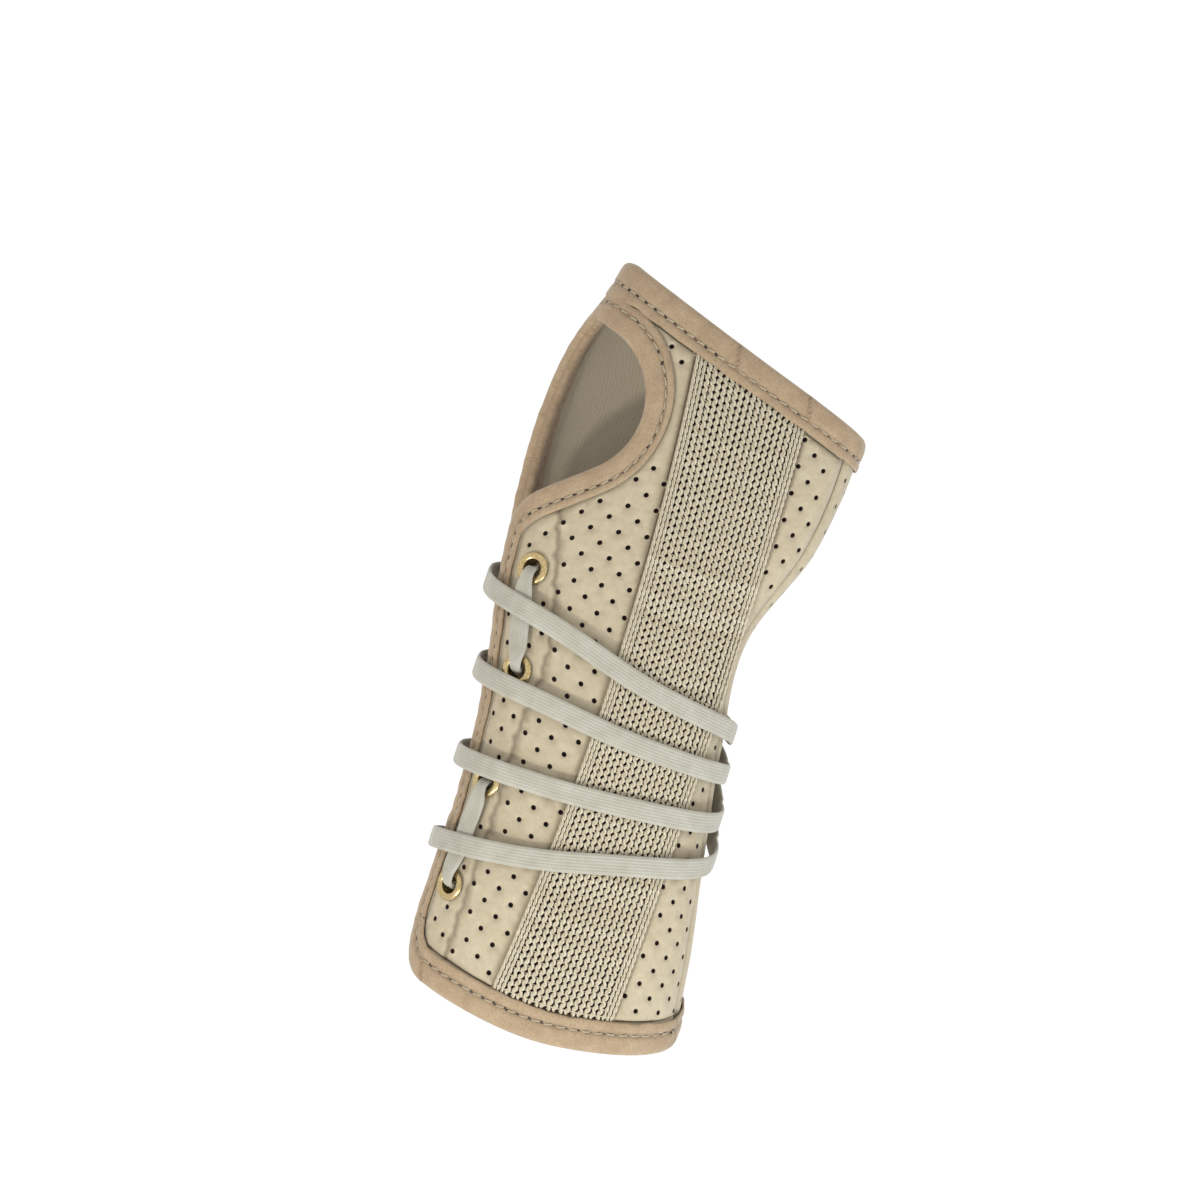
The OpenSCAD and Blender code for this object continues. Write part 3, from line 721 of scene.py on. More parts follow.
def lace_rings(route, first, last, seed):
    """Ribbed rings of a flat lace along a route, kept between two of the route's stations."""
    route = np.array([station + (LACE_W, 0)[len(station) - 3:] for station in route], float)
    centre = skin(route[:, 0], route[:, 1]) + route[:, 2:3] * normal(route[:, 0], route[:, 1])
    data = np.concatenate([centre, route], 1)
    k = np.arange(len(data) - 1)
    t = np.linspace(0, 1, 8, endpoint=False)[None, :, None]
    dense = smooth(*(data[np.clip(k + i, 0, len(data) - 1)][:, None] for i in (-1, 0, 1, 2)), t)
    dense = np.concatenate([dense.reshape(-1, data.shape[1]), data[-1:]])
    length = path_length(dense[:, :3])
    ends = length[first * 8], length[last * 8]
    s = np.linspace(*ends, max(2, round((ends[1] - ends[0]) / 0.9)) + 1)
    stations = np.stack([np.interp(s, length, dense[:, i]) for i in range(dense.shape[1])], 1)
    at = stations[:, :3]
    tips = np.stack([np.interp(s + h, length, dense[:, i]) for h in (-0.6, 0.6) for i in range(3)], 1)
    way = unit(tips[:, 3:] - tips[:, :3])
    angle, z, _, width, twist = stations[:, 3:].T
    twist = np.radians(twist)[:, None]
    about = unit(skin(angle + 1, z) - skin(angle - 1, z))
    wish = [0, 0, 1] * np.cos(twist) + about * np.sin(twist)
    w = unit(wish - (wish * way).sum(1)[:, None] * way)
    h = np.cross(way, w)
    h = h * np.sign((h * normal(angle, z)).sum(1))[:, None]
    thick = LACE_T / 2 * np.minimum(LACE_W / width, 1.15)  # a gathered lace is thicker
    cols = np.linspace(-1, 1, 29)
    rib = np.sqrt(np.maximum(0, 1 - np.abs(cols) ** 6))
    rib *= 0.8 + 0.2 * np.abs(np.sin(cols * math.pi * 3.5)) ** 0.7
    profile = np.concatenate([join(cols, rib), join(cols, -rib)[-2:0:-1]])
    cup = 0.12 * waves(at, 28, seed)
    rings = (at[:, None] + w[:, None] * (profile[None, :, :1] * width[:, None, None] / 2)
             + h[:, None] * (profile[None, :, 1:] * thick[:, None, None]
                             + profile[None, :, :1] ** 2 * cup[:, None, None]))
    flat = join(s[:, None], profile[None, :, 0] * LACE_W / 2, 0 * s[:, None])
    return rings, flat


# ---- materials
DIM = 0.65  # the studio is bright, so every surface is darker than it looks there


def srgb(r, g, b):
    return [DIM * ((c / 255 + 0.055) / 1.055) ** 2.4 for c in (r, g, b)] + [1.0]


class Look:
    """A procedural material, built up from small steps."""

    def __init__(self, name, rough, metallic=0.0, sheen=0.0, specular=0.5):
        self.material = bpy.data.materials.new(name)
        self.material.use_nodes = True
        self.nodes, self.links = self.material.node_tree.nodes, self.material.node_tree.links
        self.inputs = self.nodes["Principled BSDF"].inputs
        for socket, value in (("Roughness", rough), ("Metallic", metallic), ("Sheen Weight", sheen),
                              ("Sheen Roughness", 0.45), ("Specular IOR Level", specular)):
            self.inputs[socket].default_value = value
        self.flat = self.node("Attribute", {}, attribute_name="flat").outputs["Vector"]
        self.place = self.node("TexCoord", {}).outputs["Object"]

    def put(self, socket, value):
        """Sets an input, or links it where the value is another node's output."""
        if isinstance(value, bpy.types.NodeSocket):
            self.links.new(value, socket)
        else:
            socket.default_value = value

    def node(self, kind, inputs, **settings):
        node = self.nodes.new("ShaderNode" + kind)
        for name, value in settings.items():
            setattr(node, name, value)
        for socket, value in inputs.items():
            self.put(node.inputs[socket], value)
        return node

    def noise(self, vector, scale, detail=3.0, rough=0.6):
        inputs = {"Vector": vector, "Scale": scale, "Detail": detail, "Roughness": rough}
        return self.node("TexNoise", inputs).outputs["Fac"]

    def wave(self, period, direction="X", distortion=0.0, detail=0.0, detail_scale=1.0):
        inputs = {"Vector": self.flat, "Scale": math.pi / 10 / period, "Distortion": distortion,
                  "Detail": detail, "Detail Scale": detail_scale}
        return self.node("TexWave", inputs, bands_direction=direction).outputs["Fac"]

    def math(self, kind, a, b):
        return self.node("Math", {0: a, 1: b}, operation=kind).outputs[0]

    def plus(self, a, b, share):
        """a and a share of b."""
        return self.math("ADD", a, self.math("MULTIPLY", b, share))

    def ramp(self, factor, *stops):
        node = self.node("ValToRGB", {"Fac": factor})
        for element, (at, colour) in zip(node.color_ramp.elements, stops):
            element.position = at
            element.color = colour if len(colour) == 4 else [colour[0]] * 3 + [1]
        return node.outputs["Color"]

    def blend(self, factor, a, b):
        return self.node("Mix", {0: factor, 6: a, 7: b}, data_type="RGBA").outputs[2]

    def tint(self, colour, mask, share, other):
        return self.blend(self.math("MULTIPLY", mask, share), colour, other)

    def depth(self, start, end):
        """The flat attribute's depth, from black at the start to white at the end."""
        depth = self.node("SeparateXYZ", {0: self.flat}).outputs[2]
        return self.ramp(depth, (start, [0.0]), (end, [1.0]))

    # Painted shade: darkens a colour where flat's depth marks a crease, groove or pit
    def crease_shade(self, colour):
        return self.tint(colour, self.depth(0.01, FULL_CREASE_SHADE), 0.85, CREASE_SHADE_COLOUR)

    def colour(self, socket):
        self.put(self.inputs["Base Color"], socket)

    def bump(self, height, distance, strength):
        inputs = {"Height": height, "Distance": distance * MM, "Strength": strength}
        self.put(self.inputs["Normal"], self.node("Bump", inputs).outputs["Normal"])


# Painted shade colours, for the bottom of the pits and for creases and grooves
PIT_SHADE_COLOUR, CREASE_SHADE_COLOUR = srgb(58, 41, 42), srgb(88, 68, 50)


def suede_look(name, light, dark, deep, pits=True):
    k = Look(name, 0.92, sheen=0.25, specular=0.25)
    nap = k.noise(k.flat, 3.2, 4, 0.7)
    colour = k.ramp(k.noise(k.flat, 0.09, 4), (0.3, dark), (0.7, light))
    colour = k.blend(0.55, colour, k.ramp(k.noise(k.flat, 0.55), (0.3, dark), (0.68, light)))
    colour = k.tint(colour, k.ramp(nap, (0.5, [0.0]), (0.72, [1.0])), 0.35, deep)
    if pits:
        # Painted shade in the pits, darker with their depth
        colour = k.blend(k.depth(0.12, 0.34), k.crease_shade(colour), PIT_SHADE_COLOUR)
    k.colour(colour)
    k.bump(k.plus(nap, k.noise(k.flat, 8.5, 2), 0.6), 0.09, 0.7)
    return k.material


def tape_look(name, light, dark, deep):
    k = Look(name, 0.9, sheen=0.25, specular=0.25)
    speck = k.noise(k.flat, 1.7, 3, 0.65)
    colour = k.ramp(k.noise(k.flat, 0.1), (0.3, dark), (0.7, light))
    colour = k.blend(0.5, colour, k.ramp(k.noise(k.flat, 0.3, 4), (0.32, dark), (0.66, light)))
    colour = k.tint(colour, k.ramp(speck, (0.5, [0.0]), (0.72, [1.0])), 0.5, deep)
    k.colour(k.crease_shade(colour))
    k.bump(k.math("ADD", k.noise(k.flat, 4.5, 3, 0.7), speck), 0.12, 0.8)
    return k.material


def yarn_look(name, light, dark, twist=0.5):
    k = Look(name, 0.8, sheen=0.3, specular=0.3)
    ply = k.wave(twist, "DIAGONAL", 1.5, 1.0, 3.0)
    k.colour(k.tint(k.ramp(k.noise(k.flat, 0.5), (0.3, dark), (0.7, light)), ply, 0.35, dark))
    k.bump(k.plus(ply, k.noise(k.flat, 7.0, 2), 0.5), 0.07, 0.7)
    return k.material


def lace_look(name, light, dark, deep):
    k = Look(name, 0.72, sheen=0.3, specular=0.35)
    cross, rib = k.wave(0.58, "X", 1.0, 1.0, 2.0), k.wave(0.829, "Y")
    colour = k.ramp(k.noise(k.flat, 0.22), (0.3, dark), (0.7, light))
    for yarn, wide, share in ((rib, 0.35, 0.16), (cross, 0.45, 0.12)):
        colour = k.tint(colour, k.ramp(yarn, (0.0, [1.0]), (wide, [0.0])), share, deep)
    k.colour(colour)
    k.bump(k.plus(k.math("MULTIPLY", cross, 0.8), rib, 0.5), 0.08, 0.6)
    return k.material


def cloth_look(name, light, dark, pile=2.4, depth=0.2):
    k = Look(name, 0.95, sheen=0.4, specular=0.2)
    fuzz, rows = k.noise(k.flat, pile, 5, 0.75), k.wave(1.1, "X", 4.0, 2.0)
    k.colour(k.ramp(k.plus(k.math("MULTIPLY", fuzz, 0.8), rows, 0.12), (0.3, dark), (0.65, light)))
    k.bump(k.plus(fuzz, rows, 0.2), depth, 0.8)
    return k.material


def tuft_look(name, light, dark, size, depth):
    k = Look(name, 0.85, sheen=0.3, specular=0.3)
    cell = k.node("TexVoronoi", {"Vector": k.flat, "Scale": size}).outputs["Distance"]
    k.colour(k.ramp(k.plus(cell, k.noise(k.flat, 1.0), 0.3), (0.2, light), (0.8, dark)))
    k.bump(k.math("SUBTRACT", 1.0, cell), depth, 0.9)
    return k.material


def metal_look(name, light, dark, rough, grain=(4000, 4000, 4000)):
    k = Look(name, rough, metallic=1.0)
    drawn = k.node("Mapping", {"Vector": k.place, "Scale": grain}).outputs["Vector"]
    scuff = k.noise(drawn, 0.6, 4)
    k.colour(k.ramp(scuff, (0.3, dark), (0.65, light)))
    k.put(k.inputs["Roughness"], k.plus(rough - 0.1, scuff, 0.25))
    k.bump(scuff, 0.02, 0.4)
    return k.material


def plastic_look(name, light, dark):
    k = Look(name, 0.45)
    k.colour(k.ramp(k.noise(k.place, 90.0, 4), (0.3, dark), (0.7, light)))
    k.bump(k.noise(k.place, 2500.0, 2), 0.03, 0.4)
    return k.material


SUEDE = suede_look("suede", srgb(222, 208, 179), srgb(204, 188, 157), srgb(156, 136, 106))
TAB_SUEDE = suede_look("tab_suede", srgb(216, 202, 174), srgb(198, 182, 152), srgb(166, 148, 118), False)
TAPE = tape_look("edge_tape", srgb(207, 182, 149), srgb(180, 154, 123), srgb(124, 101, 75))
LINING = cloth_look("lining", srgb(228, 216, 193), srgb(196, 181, 155))
POCKET = cloth_look("pocket_cloth", srgb(222, 211, 190), srgb(188, 174, 150), 3.0, 0.1)
THREAD = yarn_look("thread", srgb(224, 212, 184), srgb(184, 168, 138))
FOLD_THREAD = yarn_look("fold_thread", srgb(204, 190, 160), srgb(160, 142, 112))
# Painted shade for the needle holes
NEEDLE_HOLE_SHADE = plastic_look("needle_hole_shade", srgb(52, 39, 30), srgb(40, 29, 23))
YARN = yarn_look("webbing_yarn", srgb(245, 234, 208), srgb(212, 197, 166), 0.7)
# Painted shade: the dark sheet seen through the open knit
KNIT_SHADE_SHEET = cloth_look("webbing_backing", srgb(58, 45, 35), srgb(38, 29, 24), 2.0, 0.1)
ELASTIC = lace_look("lace_elastic", srgb(210, 206, 191), srgb(194, 189, 172), srgb(144, 137, 118))
BRASS = metal_look("brass", srgb(255, 236, 182), srgb(206, 166, 100), 0.27)
STEEL = metal_look("satin_aluminium", srgb(214, 215, 217), srgb(176, 178, 181), 0.38, (20000, 20000, 400))
TIP = plastic_look("tip_plastic", srgb(233, 230, 222), srgb(219, 215, 206))
LOOP = tuft_look("loop_pile", srgb(216, 203, 178), srgb(160, 145, 118), 1.6, 0.5)
HOOK = tuft_look("hook_tape", srgb(200, 186, 156), srgb(120, 104, 80), 1.1, 0.6)


# ---- panels and linings
def edge_run(edge, a0, a1):
    a = np.linspace(a0, a1, max(3, int(abs(a1 - a0) / 4)))
    return join(a, edge(a))


def hand_run(a0, a1):
    return edge_run(hand_edge, a0, a1)


def arm_run(a0, a1):
    return edge_run(arm_edge, a0, a1)


def seam_run(angle, t0=0.0, t1=1.0):
    t = np.linspace(t0, t1, 24)
    return join(angle, height_at(angle, t))


def turn_back(points):
    return points + [360.0, 0.0]


SEAM_PALM, SEAM_BACK, STRAP_PALM, STRAP_BACK = SEAM - 0.4, SEAM + 0.4, -69.6, 272.6
STRAP_LEFT, STRAP_RIGHT, STRAP_Z = -86.9, -70.1, 104.4
PALM_OUTLINE = [PALM_FLAP, path(PALM_FLAP[-1:], NOTCH), path(NOTCH[-1:], seam_run(STRAP_PALM, 0.94, 1)),
                hand_run(STRAP_PALM, SEAM_PALM), seam_run(SEAM_PALM, 1, 0),
                arm_run(SEAM_PALM, PALM_FLAP[0, 0])]
BACK_EDGES = path(turn_back(THUMB_BACK), BACK_FLAP[::-1])
BACK_OUTLINE = [seam_run(SEAM_BACK), hand_run(SEAM_BACK, STRAP_BACK), seam_run(STRAP_BACK, 1, 0.92),
                path(seam_run(STRAP_BACK, 0.92, 0.91)[:1], BACK_EDGES),
                arm_run(BACK_FLAP[0, 0], SEAM_BACK)]
STRAP_OUTLINE = [np.array([(STRAP_LEFT, STRAP_Z), (STRAP_LEFT, hand_edge(-87))]),
                 hand_run(STRAP_LEFT, STRAP_RIGHT),
                 np.array([(STRAP_RIGHT, hand_edge(-70)), (STRAP_RIGHT, STRAP_Z)]),
                 np.array([(STRAP_RIGHT, STRAP_Z), (STRAP_LEFT, STRAP_Z)])]

# The fold of each flap: the palm one shows the edge of its facing, the back one has two rows of stitches
FOLD_PALM = np.array([(-38.5, 58.5), (-36.3, 54), (-27.2, 22.7), (-25.1, 2.1), (-26.5, -10.8), (-26, -37),
                      (-26.7, -71.7), (-27.2, -84)])
FOLD_PALM = join(angle_at(*FOLD_PALM.T), FOLD_PALM[:, 1])
FOLD_BACK = np.array([(fold_angle(z), z) for z in np.linspace(-77, 72, 26)])


def beside(points, shift):
    return inset(resample(points, 2.0)[0], shift)


BACK_FOLD_ROWS = [beside(FOLD_BACK, s) for s in (-0.8, 0.8)]

STRIP_W, LIP = 34.5, TAPE_W + 0.45


def strip_edge(z, side):
    bow = 1 - ((z - 10) / 98) ** 2
    return -STRIP_W / 3 + side * STRIP_W + bow * (5.8 * (1 - side) + 2 * side)


def strip_line(side):
    """A wale's line: side is 0 at the webbing's thumb edge and 1 at its other edge."""
    z = np.linspace(-89, 112, 60)
    angle = angle_at(strip_edge(z, side), z)
    keep = (z > arm_edge(angle) + LIP) & (z < hand_edge(angle) - LIP)
    low, high = z[keep][0], z[keep][-1]
    for _ in range(8):
        low = arm_edge(angle_at(strip_edge(low, side), low)) + LIP
        high = hand_edge(angle_at(strip_edge(high, side), high)) - LIP
    z = np.linspace(low, high, 60)
    return join(angle_at(strip_edge(z, side), z), z)


def fine(points, step=1.0):
    return flat_path(resample(points, step)[0])


def flap_facing():
    """The edge of the palm flap's facing, which shows through the suede as a wavy step."""
    points, s = resample(FOLD_PALM, 1.0)
    wobble = 0.35 * np.sin(2 * math.pi * s / 7.3) + 0.28 * np.sin(2 * math.pi * s / 3.9 + 1)
    return flat_path(shifted(points, inward(points), wobble))


def make_panel(name, body, slot, look, cad, *args, **kwargs):
    pile = Pile()
    panel(pile, *args, **kwargs)
    obj = pile.piece(name, body, slot, look)
    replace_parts(obj, *cad)
    if body is None:
        blend_flap(obj)


def make_panels():
    strip_zone = np.concatenate([fine(strip_line(s), 1.5) for s in np.linspace(0, 1, 14)])
    facing = flap_facing()
    palm_edges = path(PALM_FLAP, NOTCH)
    palm_off = [(fine(p), TAPE_W + 1.3) for p in (hand_run(-90, 100), arm_run(-95, 100))]
    palm_off += [(fine(palm_edges), THUMB_TAPE_W + 1.0), (fine(seam_run(SEAM_PALM)), 2.4),
                 (strip_zone, 0.9), (facing, 1.2)]
    slots = []
    for edge, off, deep, deep_high in ((palm_edges, THUMB_TAPE_W + 0.25, 0.9, 0.4),
                                       (hand_run(SEAM_PALM, STRAP_PALM)[::-1], TAPE_W + 0.25, 0.9, 0.9),
                                       (arm_run(SEAM_PALM, -88), TAPE_W + 0.25, 0.9, 0.9),
                                       (strip_line(0), -0.35, 0.45, 1.0),
                                       (strip_line(1), 0.35, 0.5, 0.8)):
        slot = flat_path(inset(resample(edge, 1.0)[0], off))
        slots.append((slot, deep + (deep_high - deep) / (1 + np.exp((30 - slot[:, 1]) / 8))))
    make_panel("palmar_suede", "splint", "suede", SUEDE, ["palmar_panel"], PALM_OUTLINE,
               PANEL_OUT, PANEL_IN, palm_off, PALMAR_EYELETS, slots=slots, steps=[facing],
               roll=[fine(seam_run(SEAM_PALM), 0.8)])

    back_off = [(fine(p), TAPE_W + 1.3) for p in (hand_run(90, 275), arm_run(90, 268))]
    back_off += [(fine(BACK_EDGES), THUMB_TAPE_W + 1.3), (fine(seam_run(SEAM_BACK)), 2.4)]
    back_off += [(fine(row), 1.5) for row in BACK_FOLD_ROWS]
    back_eyelets = [(a + 360, z) for a, z in DORSAL_EYELETS]
    make_panel("dorsal_suede", None, "suede", SUEDE, ["dorsal_panel", "dorsal_flap"], BACK_OUTLINE,
               PANEL_OUT, PANEL_IN, back_off, back_eyelets,
               dents=[fine(row, 1.4) for row in BACK_FOLD_ROWS], roll=[fine(seam_run(SEAM_BACK), 0.8)])
    make_panel("web_strap_suede", "splint", "suede", SUEDE, ["web_strap"], STRAP_OUTLINE,
               PANEL_OUT, PANEL_IN, pits=False)

    for name, body, outline, eyelets, cad in (
            ("palmar_brushed_lining", "splint", PALM_OUTLINE, PALMAR_EYELETS, ["palmar_lining"]),
            ("dorsal_brushed_lining", None, BACK_OUTLINE, back_eyelets, ["dorsal_lining", "flap_lining"]),
            ("web_strap_brushed_lining", "splint", STRAP_OUTLINE, (), ["web_strap_lining"])):
        make_panel(name, body, "lining", LINING, cad, outline, LINING_OUT, LINING_IN,
                   eyelets=eyelets, pits=False)


# ---- pieces across the joints, each with its place baked into its mesh
FLAP_AXIS = unit(np.array([-54.0, -18, 164]))
FOLD_AT = fold_angle(2.0), 2.0
FLAP_WAY = unit(np.cross(FLAP_AXIS, normal(*FOLD_AT)))
FLAP_WAY = FLAP_WAY * (1 if FLAP_WAY[0] < 0 else -1)


def blend(obj):
    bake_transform(obj)


def blend_flap(obj):
    blend(obj)


def blend_eyelet_lace(obj):
    """A lace's turn over the opening, between the palm flap's edge and the back flap's, with its place
    baked into its mesh.
    """
    blend(obj)


def blend_tab_lace(obj):
    blend(obj)


# ---- tapes, strips and their stitching
PALM_PATH = path(arm_run(SEAM_PALM, PALM_FLAP[0, 0])[:-1], PALM_FLAP, NOTCH, STRAP_LOW, THUMB_BACK[:1])
BACK_PATH = path(THUMB_BACK, BACK_FLAP[::-1] - [360.0, 0.0],
                 arm_run(BACK_FLAP[0, 0] - 360, SEAM_BACK - 360)[1:])
HAND_PATH = hand_run(0, 352)


def web_lap(pts):
    """The hand tape is wider over the strap, where it laps over the thumb tape."""
    angle = (pts[:, 0] + 180) % 360 - 180
    return 1.7 * np.exp(-(((angle + 78) / 13) ** 4))


def arm_widen(pts):
    """A tape is a little wider along the forearm edge."""
    return (TAPE_W - THUMB_TAPE_W) / (1 + np.exp((pts[:, 1] + 68) / 1.5))


def strip(pile, points, rows, layer_of):
    """A cloth strip along a line of the shell. Each row of its section is a depth, a layer and
    a place across."""
    pts, s = resample(points, 1.2)
    inwards = inward(pts)
    rings = [layer_of(*shifted(pts, inwards, d).T, layer) for d, layer, _ in rows]
    flats = [join(s, across, 0 * s) for _, _, across in rows]
    sweep(pile, np.stack(rings, 1), np.stack(flats, 1))


def power(x, k):
    return np.sign(x) * np.abs(x) ** k


def ribbon(pile, points, half, low, high):
    """A flat strip with soft edges."""
    turn = turns(20)
    depth = half * power(np.cos(turn), 0.35)
    layer = (low + high) / 2 + (high - low) / 2 * power(np.sin(turn), 0.6)
    strip(pile, points, list(zip(depth, layer, depth)), cloth)


def boning_cover(pile, points, half, out, inn):
    """A channel strip that swells over its rod: flat stitched borders and a raised middle."""
    side = [(half + 1.2, 0.1), (half + 0.6, 0.35), (half + 0.1, 0.4), (half * 0.8, 1.0),
            (half * 0.4, 1.25)]
    profile = [(-d, f) for d, f in side] + [(0, 1.3)] + side[::-1]
    rows = [(d, out + f * (inn - out) / 1.3, d) for d, f in profile]
    rows += [(d, out + max(0.0, f - 0.28) * (inn - out) / 1.3, d + 20) for d, f in profile[::-1]]
    strip(pile, points, rows, skin)


def row_at(points, depth, layer, closed=False):
    pts, _ = resample(points, 1.2, closed)
    return surface_run(inset(pts, depth, closed), layer, closed)


def make_tapes():
    hand_tucks = [(angle, hand_edge(angle)) for angle in (-59, 53, 168)]
    arm_tucks = [(-57, arm_edge(-57))]
    for name, points, width, closed, widen, tucks, cad, body in (
            ("hand_edge_tape", HAND_PATH, TAPE_W, True, web_lap, hand_tucks, ["hand_binding"], "splint"),
            ("palmar_edge_tape", PALM_PATH, THUMB_TAPE_W, False, arm_widen, arm_tucks,
             ["thumb_binding", "palmar_flap_binding", "palmar_arm_binding"], "splint"),
            ("dorsal_edge_tape", BACK_PATH, THUMB_TAPE_W, False, arm_widen, (),
             ["flap_binding", "dorsal_arm_binding"], None)):
        pile, rows, seed = Pile(), Pile(), len(name)
        tape(pile, points, width, closed, widen, tucks, seed)
        obj = pile.piece(name, body, "edge_tape", TAPE)
        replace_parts(obj, *cad)
        for k, layer in enumerate((-THREAD_DEPTH, TAPE_LOW + THREAD_DEPTH)):
            thread_row(rows, row_at(points, tape_groove(width), layer, closed), seed + k)
        sewn = rows.piece(name.replace("tape", "stitching"), body, "edge_tape", THREAD, NEEDLE_HOLE_SHADE)
        if body is None:
            blend_flap(obj)
            blend_flap(sewn)


BONE_HALF = 2.0
COVER_OUT, COVER_IN = LINING_IN - 0.4, LINING_IN - 0.9
SEAM_ENDS = 0.06, 0.94
PALM_BONE = np.array([(-39.4 - abs(z - 4) / 15, z) for z in range(-64, 45, 12)], float)
BACK_BONE = np.array([(227, z) for z in range(-62, 27, 11)], float)


def make_seams():
    pile, rows = Pile(), Pile()
    line = np.array([(SEAM, height_at(SEAM, t)) for t in np.linspace(*SEAM_ENDS, 12)])
    ribbon(pile, line, 3, COVER_IN, COVER_OUT)
    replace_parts(pile.piece("ulnar_seam_cover", "splint", "edge_tape", TAPE), "ulnar_seam_tape")
    for d in (-2.3, 2.3):
        thread_row(rows, row_at(seam_run(SEAM, *SEAM_ENDS), d, COVER_IN), 31)
    rows.piece("ulnar_seam_stitching", "splint", "edge_tape", THREAD, NEEDLE_HOLE_SHADE)

    for side, points, body in (("palmar", PALM_BONE, "splint"), ("dorsal", BACK_BONE, "flap")):
        pile, rows = Pile(), Pile()
        boning_cover(pile, points, BONE_HALF + 0.7, COVER_OUT, COVER_IN - 1.75)
        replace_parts(pile.piece(f"{side}_boning_cover", body, "edge_tape", TAPE), f"{side}_boning_channel")
        for d in (-BONE_HALF - 1.25, BONE_HALF + 1.25):
            thread_row(rows, row_at(points, d, LINING_IN - 1.0), 33, holes=False)
        rows.piece(f"{side}_boning_stitching", body, "edge_tape", THREAD, NEEDLE_HOLE_SHADE)

    rows = Pile()
    for k, row in enumerate(BACK_FOLD_ROWS):
        row = row[row[:, 1] > ARM_Z + BACK_RISE + TAPE_W + 0.6]
        thread_row(rows, surface_run(row, PANEL_OUT - 0.4), 44 + k, radius=0.2, holes=False)
    blend_flap(rows.piece("dorsal_fold_stitching", None, "suede", FOLD_THREAD))


# ---- open-knit webbing
WALE, LOOP_LENGTH, MARGIN = 1.8, 2.1, 3.6


def wale(pile, number, side, tight):
    """One lengthwise chain of the knit: two plies that cross, swaying between its neighbours."""
    pts, s = resample(strip_line(side), 0.4)
    p = skin(*pts.T)
    phase = math.pi * (number % 2) + 0.35 * waves(p, 11, 5)
    sway = (0.0 if tight else 0.2) * (1 + 0.3 * waves(p, 6, number))
    sway = sway * np.sin(2 * math.pi * s / LOOP_LENGTH + phase)
    angle, z = shifted(pts, inward(pts), sway).T
    centre = cloth(angle, z, 0.02 - 0.85 * bell(np.minimum(s, s[-1] - s), 1.0))
    out = normal(angle, z)
    across = unit(np.cross(heading(centre), out))
    orbit, radius = (0.22, 0.29) if tight else (0.27, 0.39)
    flat = np.zeros((len(s), 5, 3))
    flat[:, :, 0] = s[:, None]
    flat[:, :, 1] = np.arange(5) * 2 * math.pi * radius / 5
    for ply in (0, 1):
        turn = (math.pi * (s / LOOP_LENGTH + ply) + phase / 2)[:, None]
        off = orbit * (np.cos(turn) * across * 1.12 + np.sin(turn) * out * 0.8)
        tube(pile, centre + off, radius, 5, flat)


def knit_columns(margin, count):
    return [resample(strip_line(side), 1.0)[0] for side in np.linspace(margin, 1 - margin, count)]


def make_webbing():
    wide = STRIP_W + 2.0
    inner = wide - 2 * MARGIN
    count = round(inner / WALE)
    margin_ribs = [MARGIN * (k + 0.4) / 3 / wide for k in range(3)]
    wales = [(side, True) for rib in margin_ribs for side in (rib, 1 - rib)]
    wales += [((MARGIN + (k + 0.5) * inner / count) / wide, False) for k in range(count)]
    halves = [Pile(), Pile()]
    for number, (side, tight) in enumerate(sorted(wales)):
        wale(halves[side > 0.5], number, side, tight)
    knit = [half.piece(name, "splint", "webbing", YARN)
            for half, name in zip(halves, ("webbing_knit_thumb_half", "webbing_knit_far_half"))]

    weft = Pile()
    columns = knit_columns(0.02, 24)
    long = resample(strip_line(0.5), 1.0)[1][-1]
    for k in range(int(long / LOOP_LENGTH)):
        t = (k + 0.5) * LOOP_LENGTH / long
        angle, z = ([np.interp(t, np.linspace(0, 1, len(column)), column[:, i]) for column in columns]
                    for i in (0, 1))
        lift = 0.22 * np.cos((np.arange(len(columns)) + k) * math.pi)
        tube(weft, cloth(np.array(angle), np.array(z), lift - 0.3), 0.2, 5)
    knit.append(weft.piece("webbing_weft", "splint", "webbing", YARN))

    # A dark sheet under the knit, in place of the CAD strip: painted shade seen through the open loops
    picked = [c[np.linspace(0, len(c) - 1, 90).round().astype(int)] for c in knit_columns(0.015, 16)]
    angle, z = np.stack(picked, 1).transpose(2, 0, 1)
    flats = join(to_flat(angle, z), z, 0 * z)
    back = Pile()
    sweep(back, np.concatenate([cloth(angle, z, -0.62), cloth(angle, z, -0.9)[:, ::-1]], 1),
          np.concatenate([flats, flats[:, ::-1]], 1))
    shade_sheet = back.piece("webbing_backing", "splint", "webbing", KNIT_SHADE_SHEET)
    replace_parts(shade_sheet, "webbing_strip")


# ---- laces, eyelets, washers
def make_laces():
    for cad, k in (("upper_lace", 0), ("lower_lace", 2)):
        ways = side_part, palm_part, edge_part, under_part
        parts = [way(k) for way in ways] + [bridge_part(k)] + [way(k + 1)[::-1] for way in ways[::-1]]
        route = [station for part in parts for station in part]
        at = np.concatenate([[0], np.cumsum([len(p) for p in parts])])
        # where the lace passes from one piece to the next
        side, edge, bridge = at[[1, 2, 4]]
        bridge_end, palm, last_side = at[[5, 7, 8]] - 1
        for name, first, last, body in (
                ("tab_end_1", 0, side, None), ("tab_end_2", last_side, len(route) - 1, None),
                ("strand_1", side, edge, "splint"), ("bridge", bridge, bridge_end, "splint"),
                ("strand_2", palm, last_side, "splint"),
                ("turn_1", edge, bridge, None), ("turn_2", bridge_end, palm, None)):
            pile = Pile()
            sweep(pile, *lace_rings(route, first, last, k))
            obj = pile.piece(f"{cad}_{name}", body, "elastic", ELASTIC)
            if name == "tab_end_1":
                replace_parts(obj, cad)
            if name.startswith("tab_end"):
                blend_tab_lace(obj)
            elif body is None:
                blend_eyelet_lace(obj)


RING = 40  # points round an eyelet, a washer or the pocket


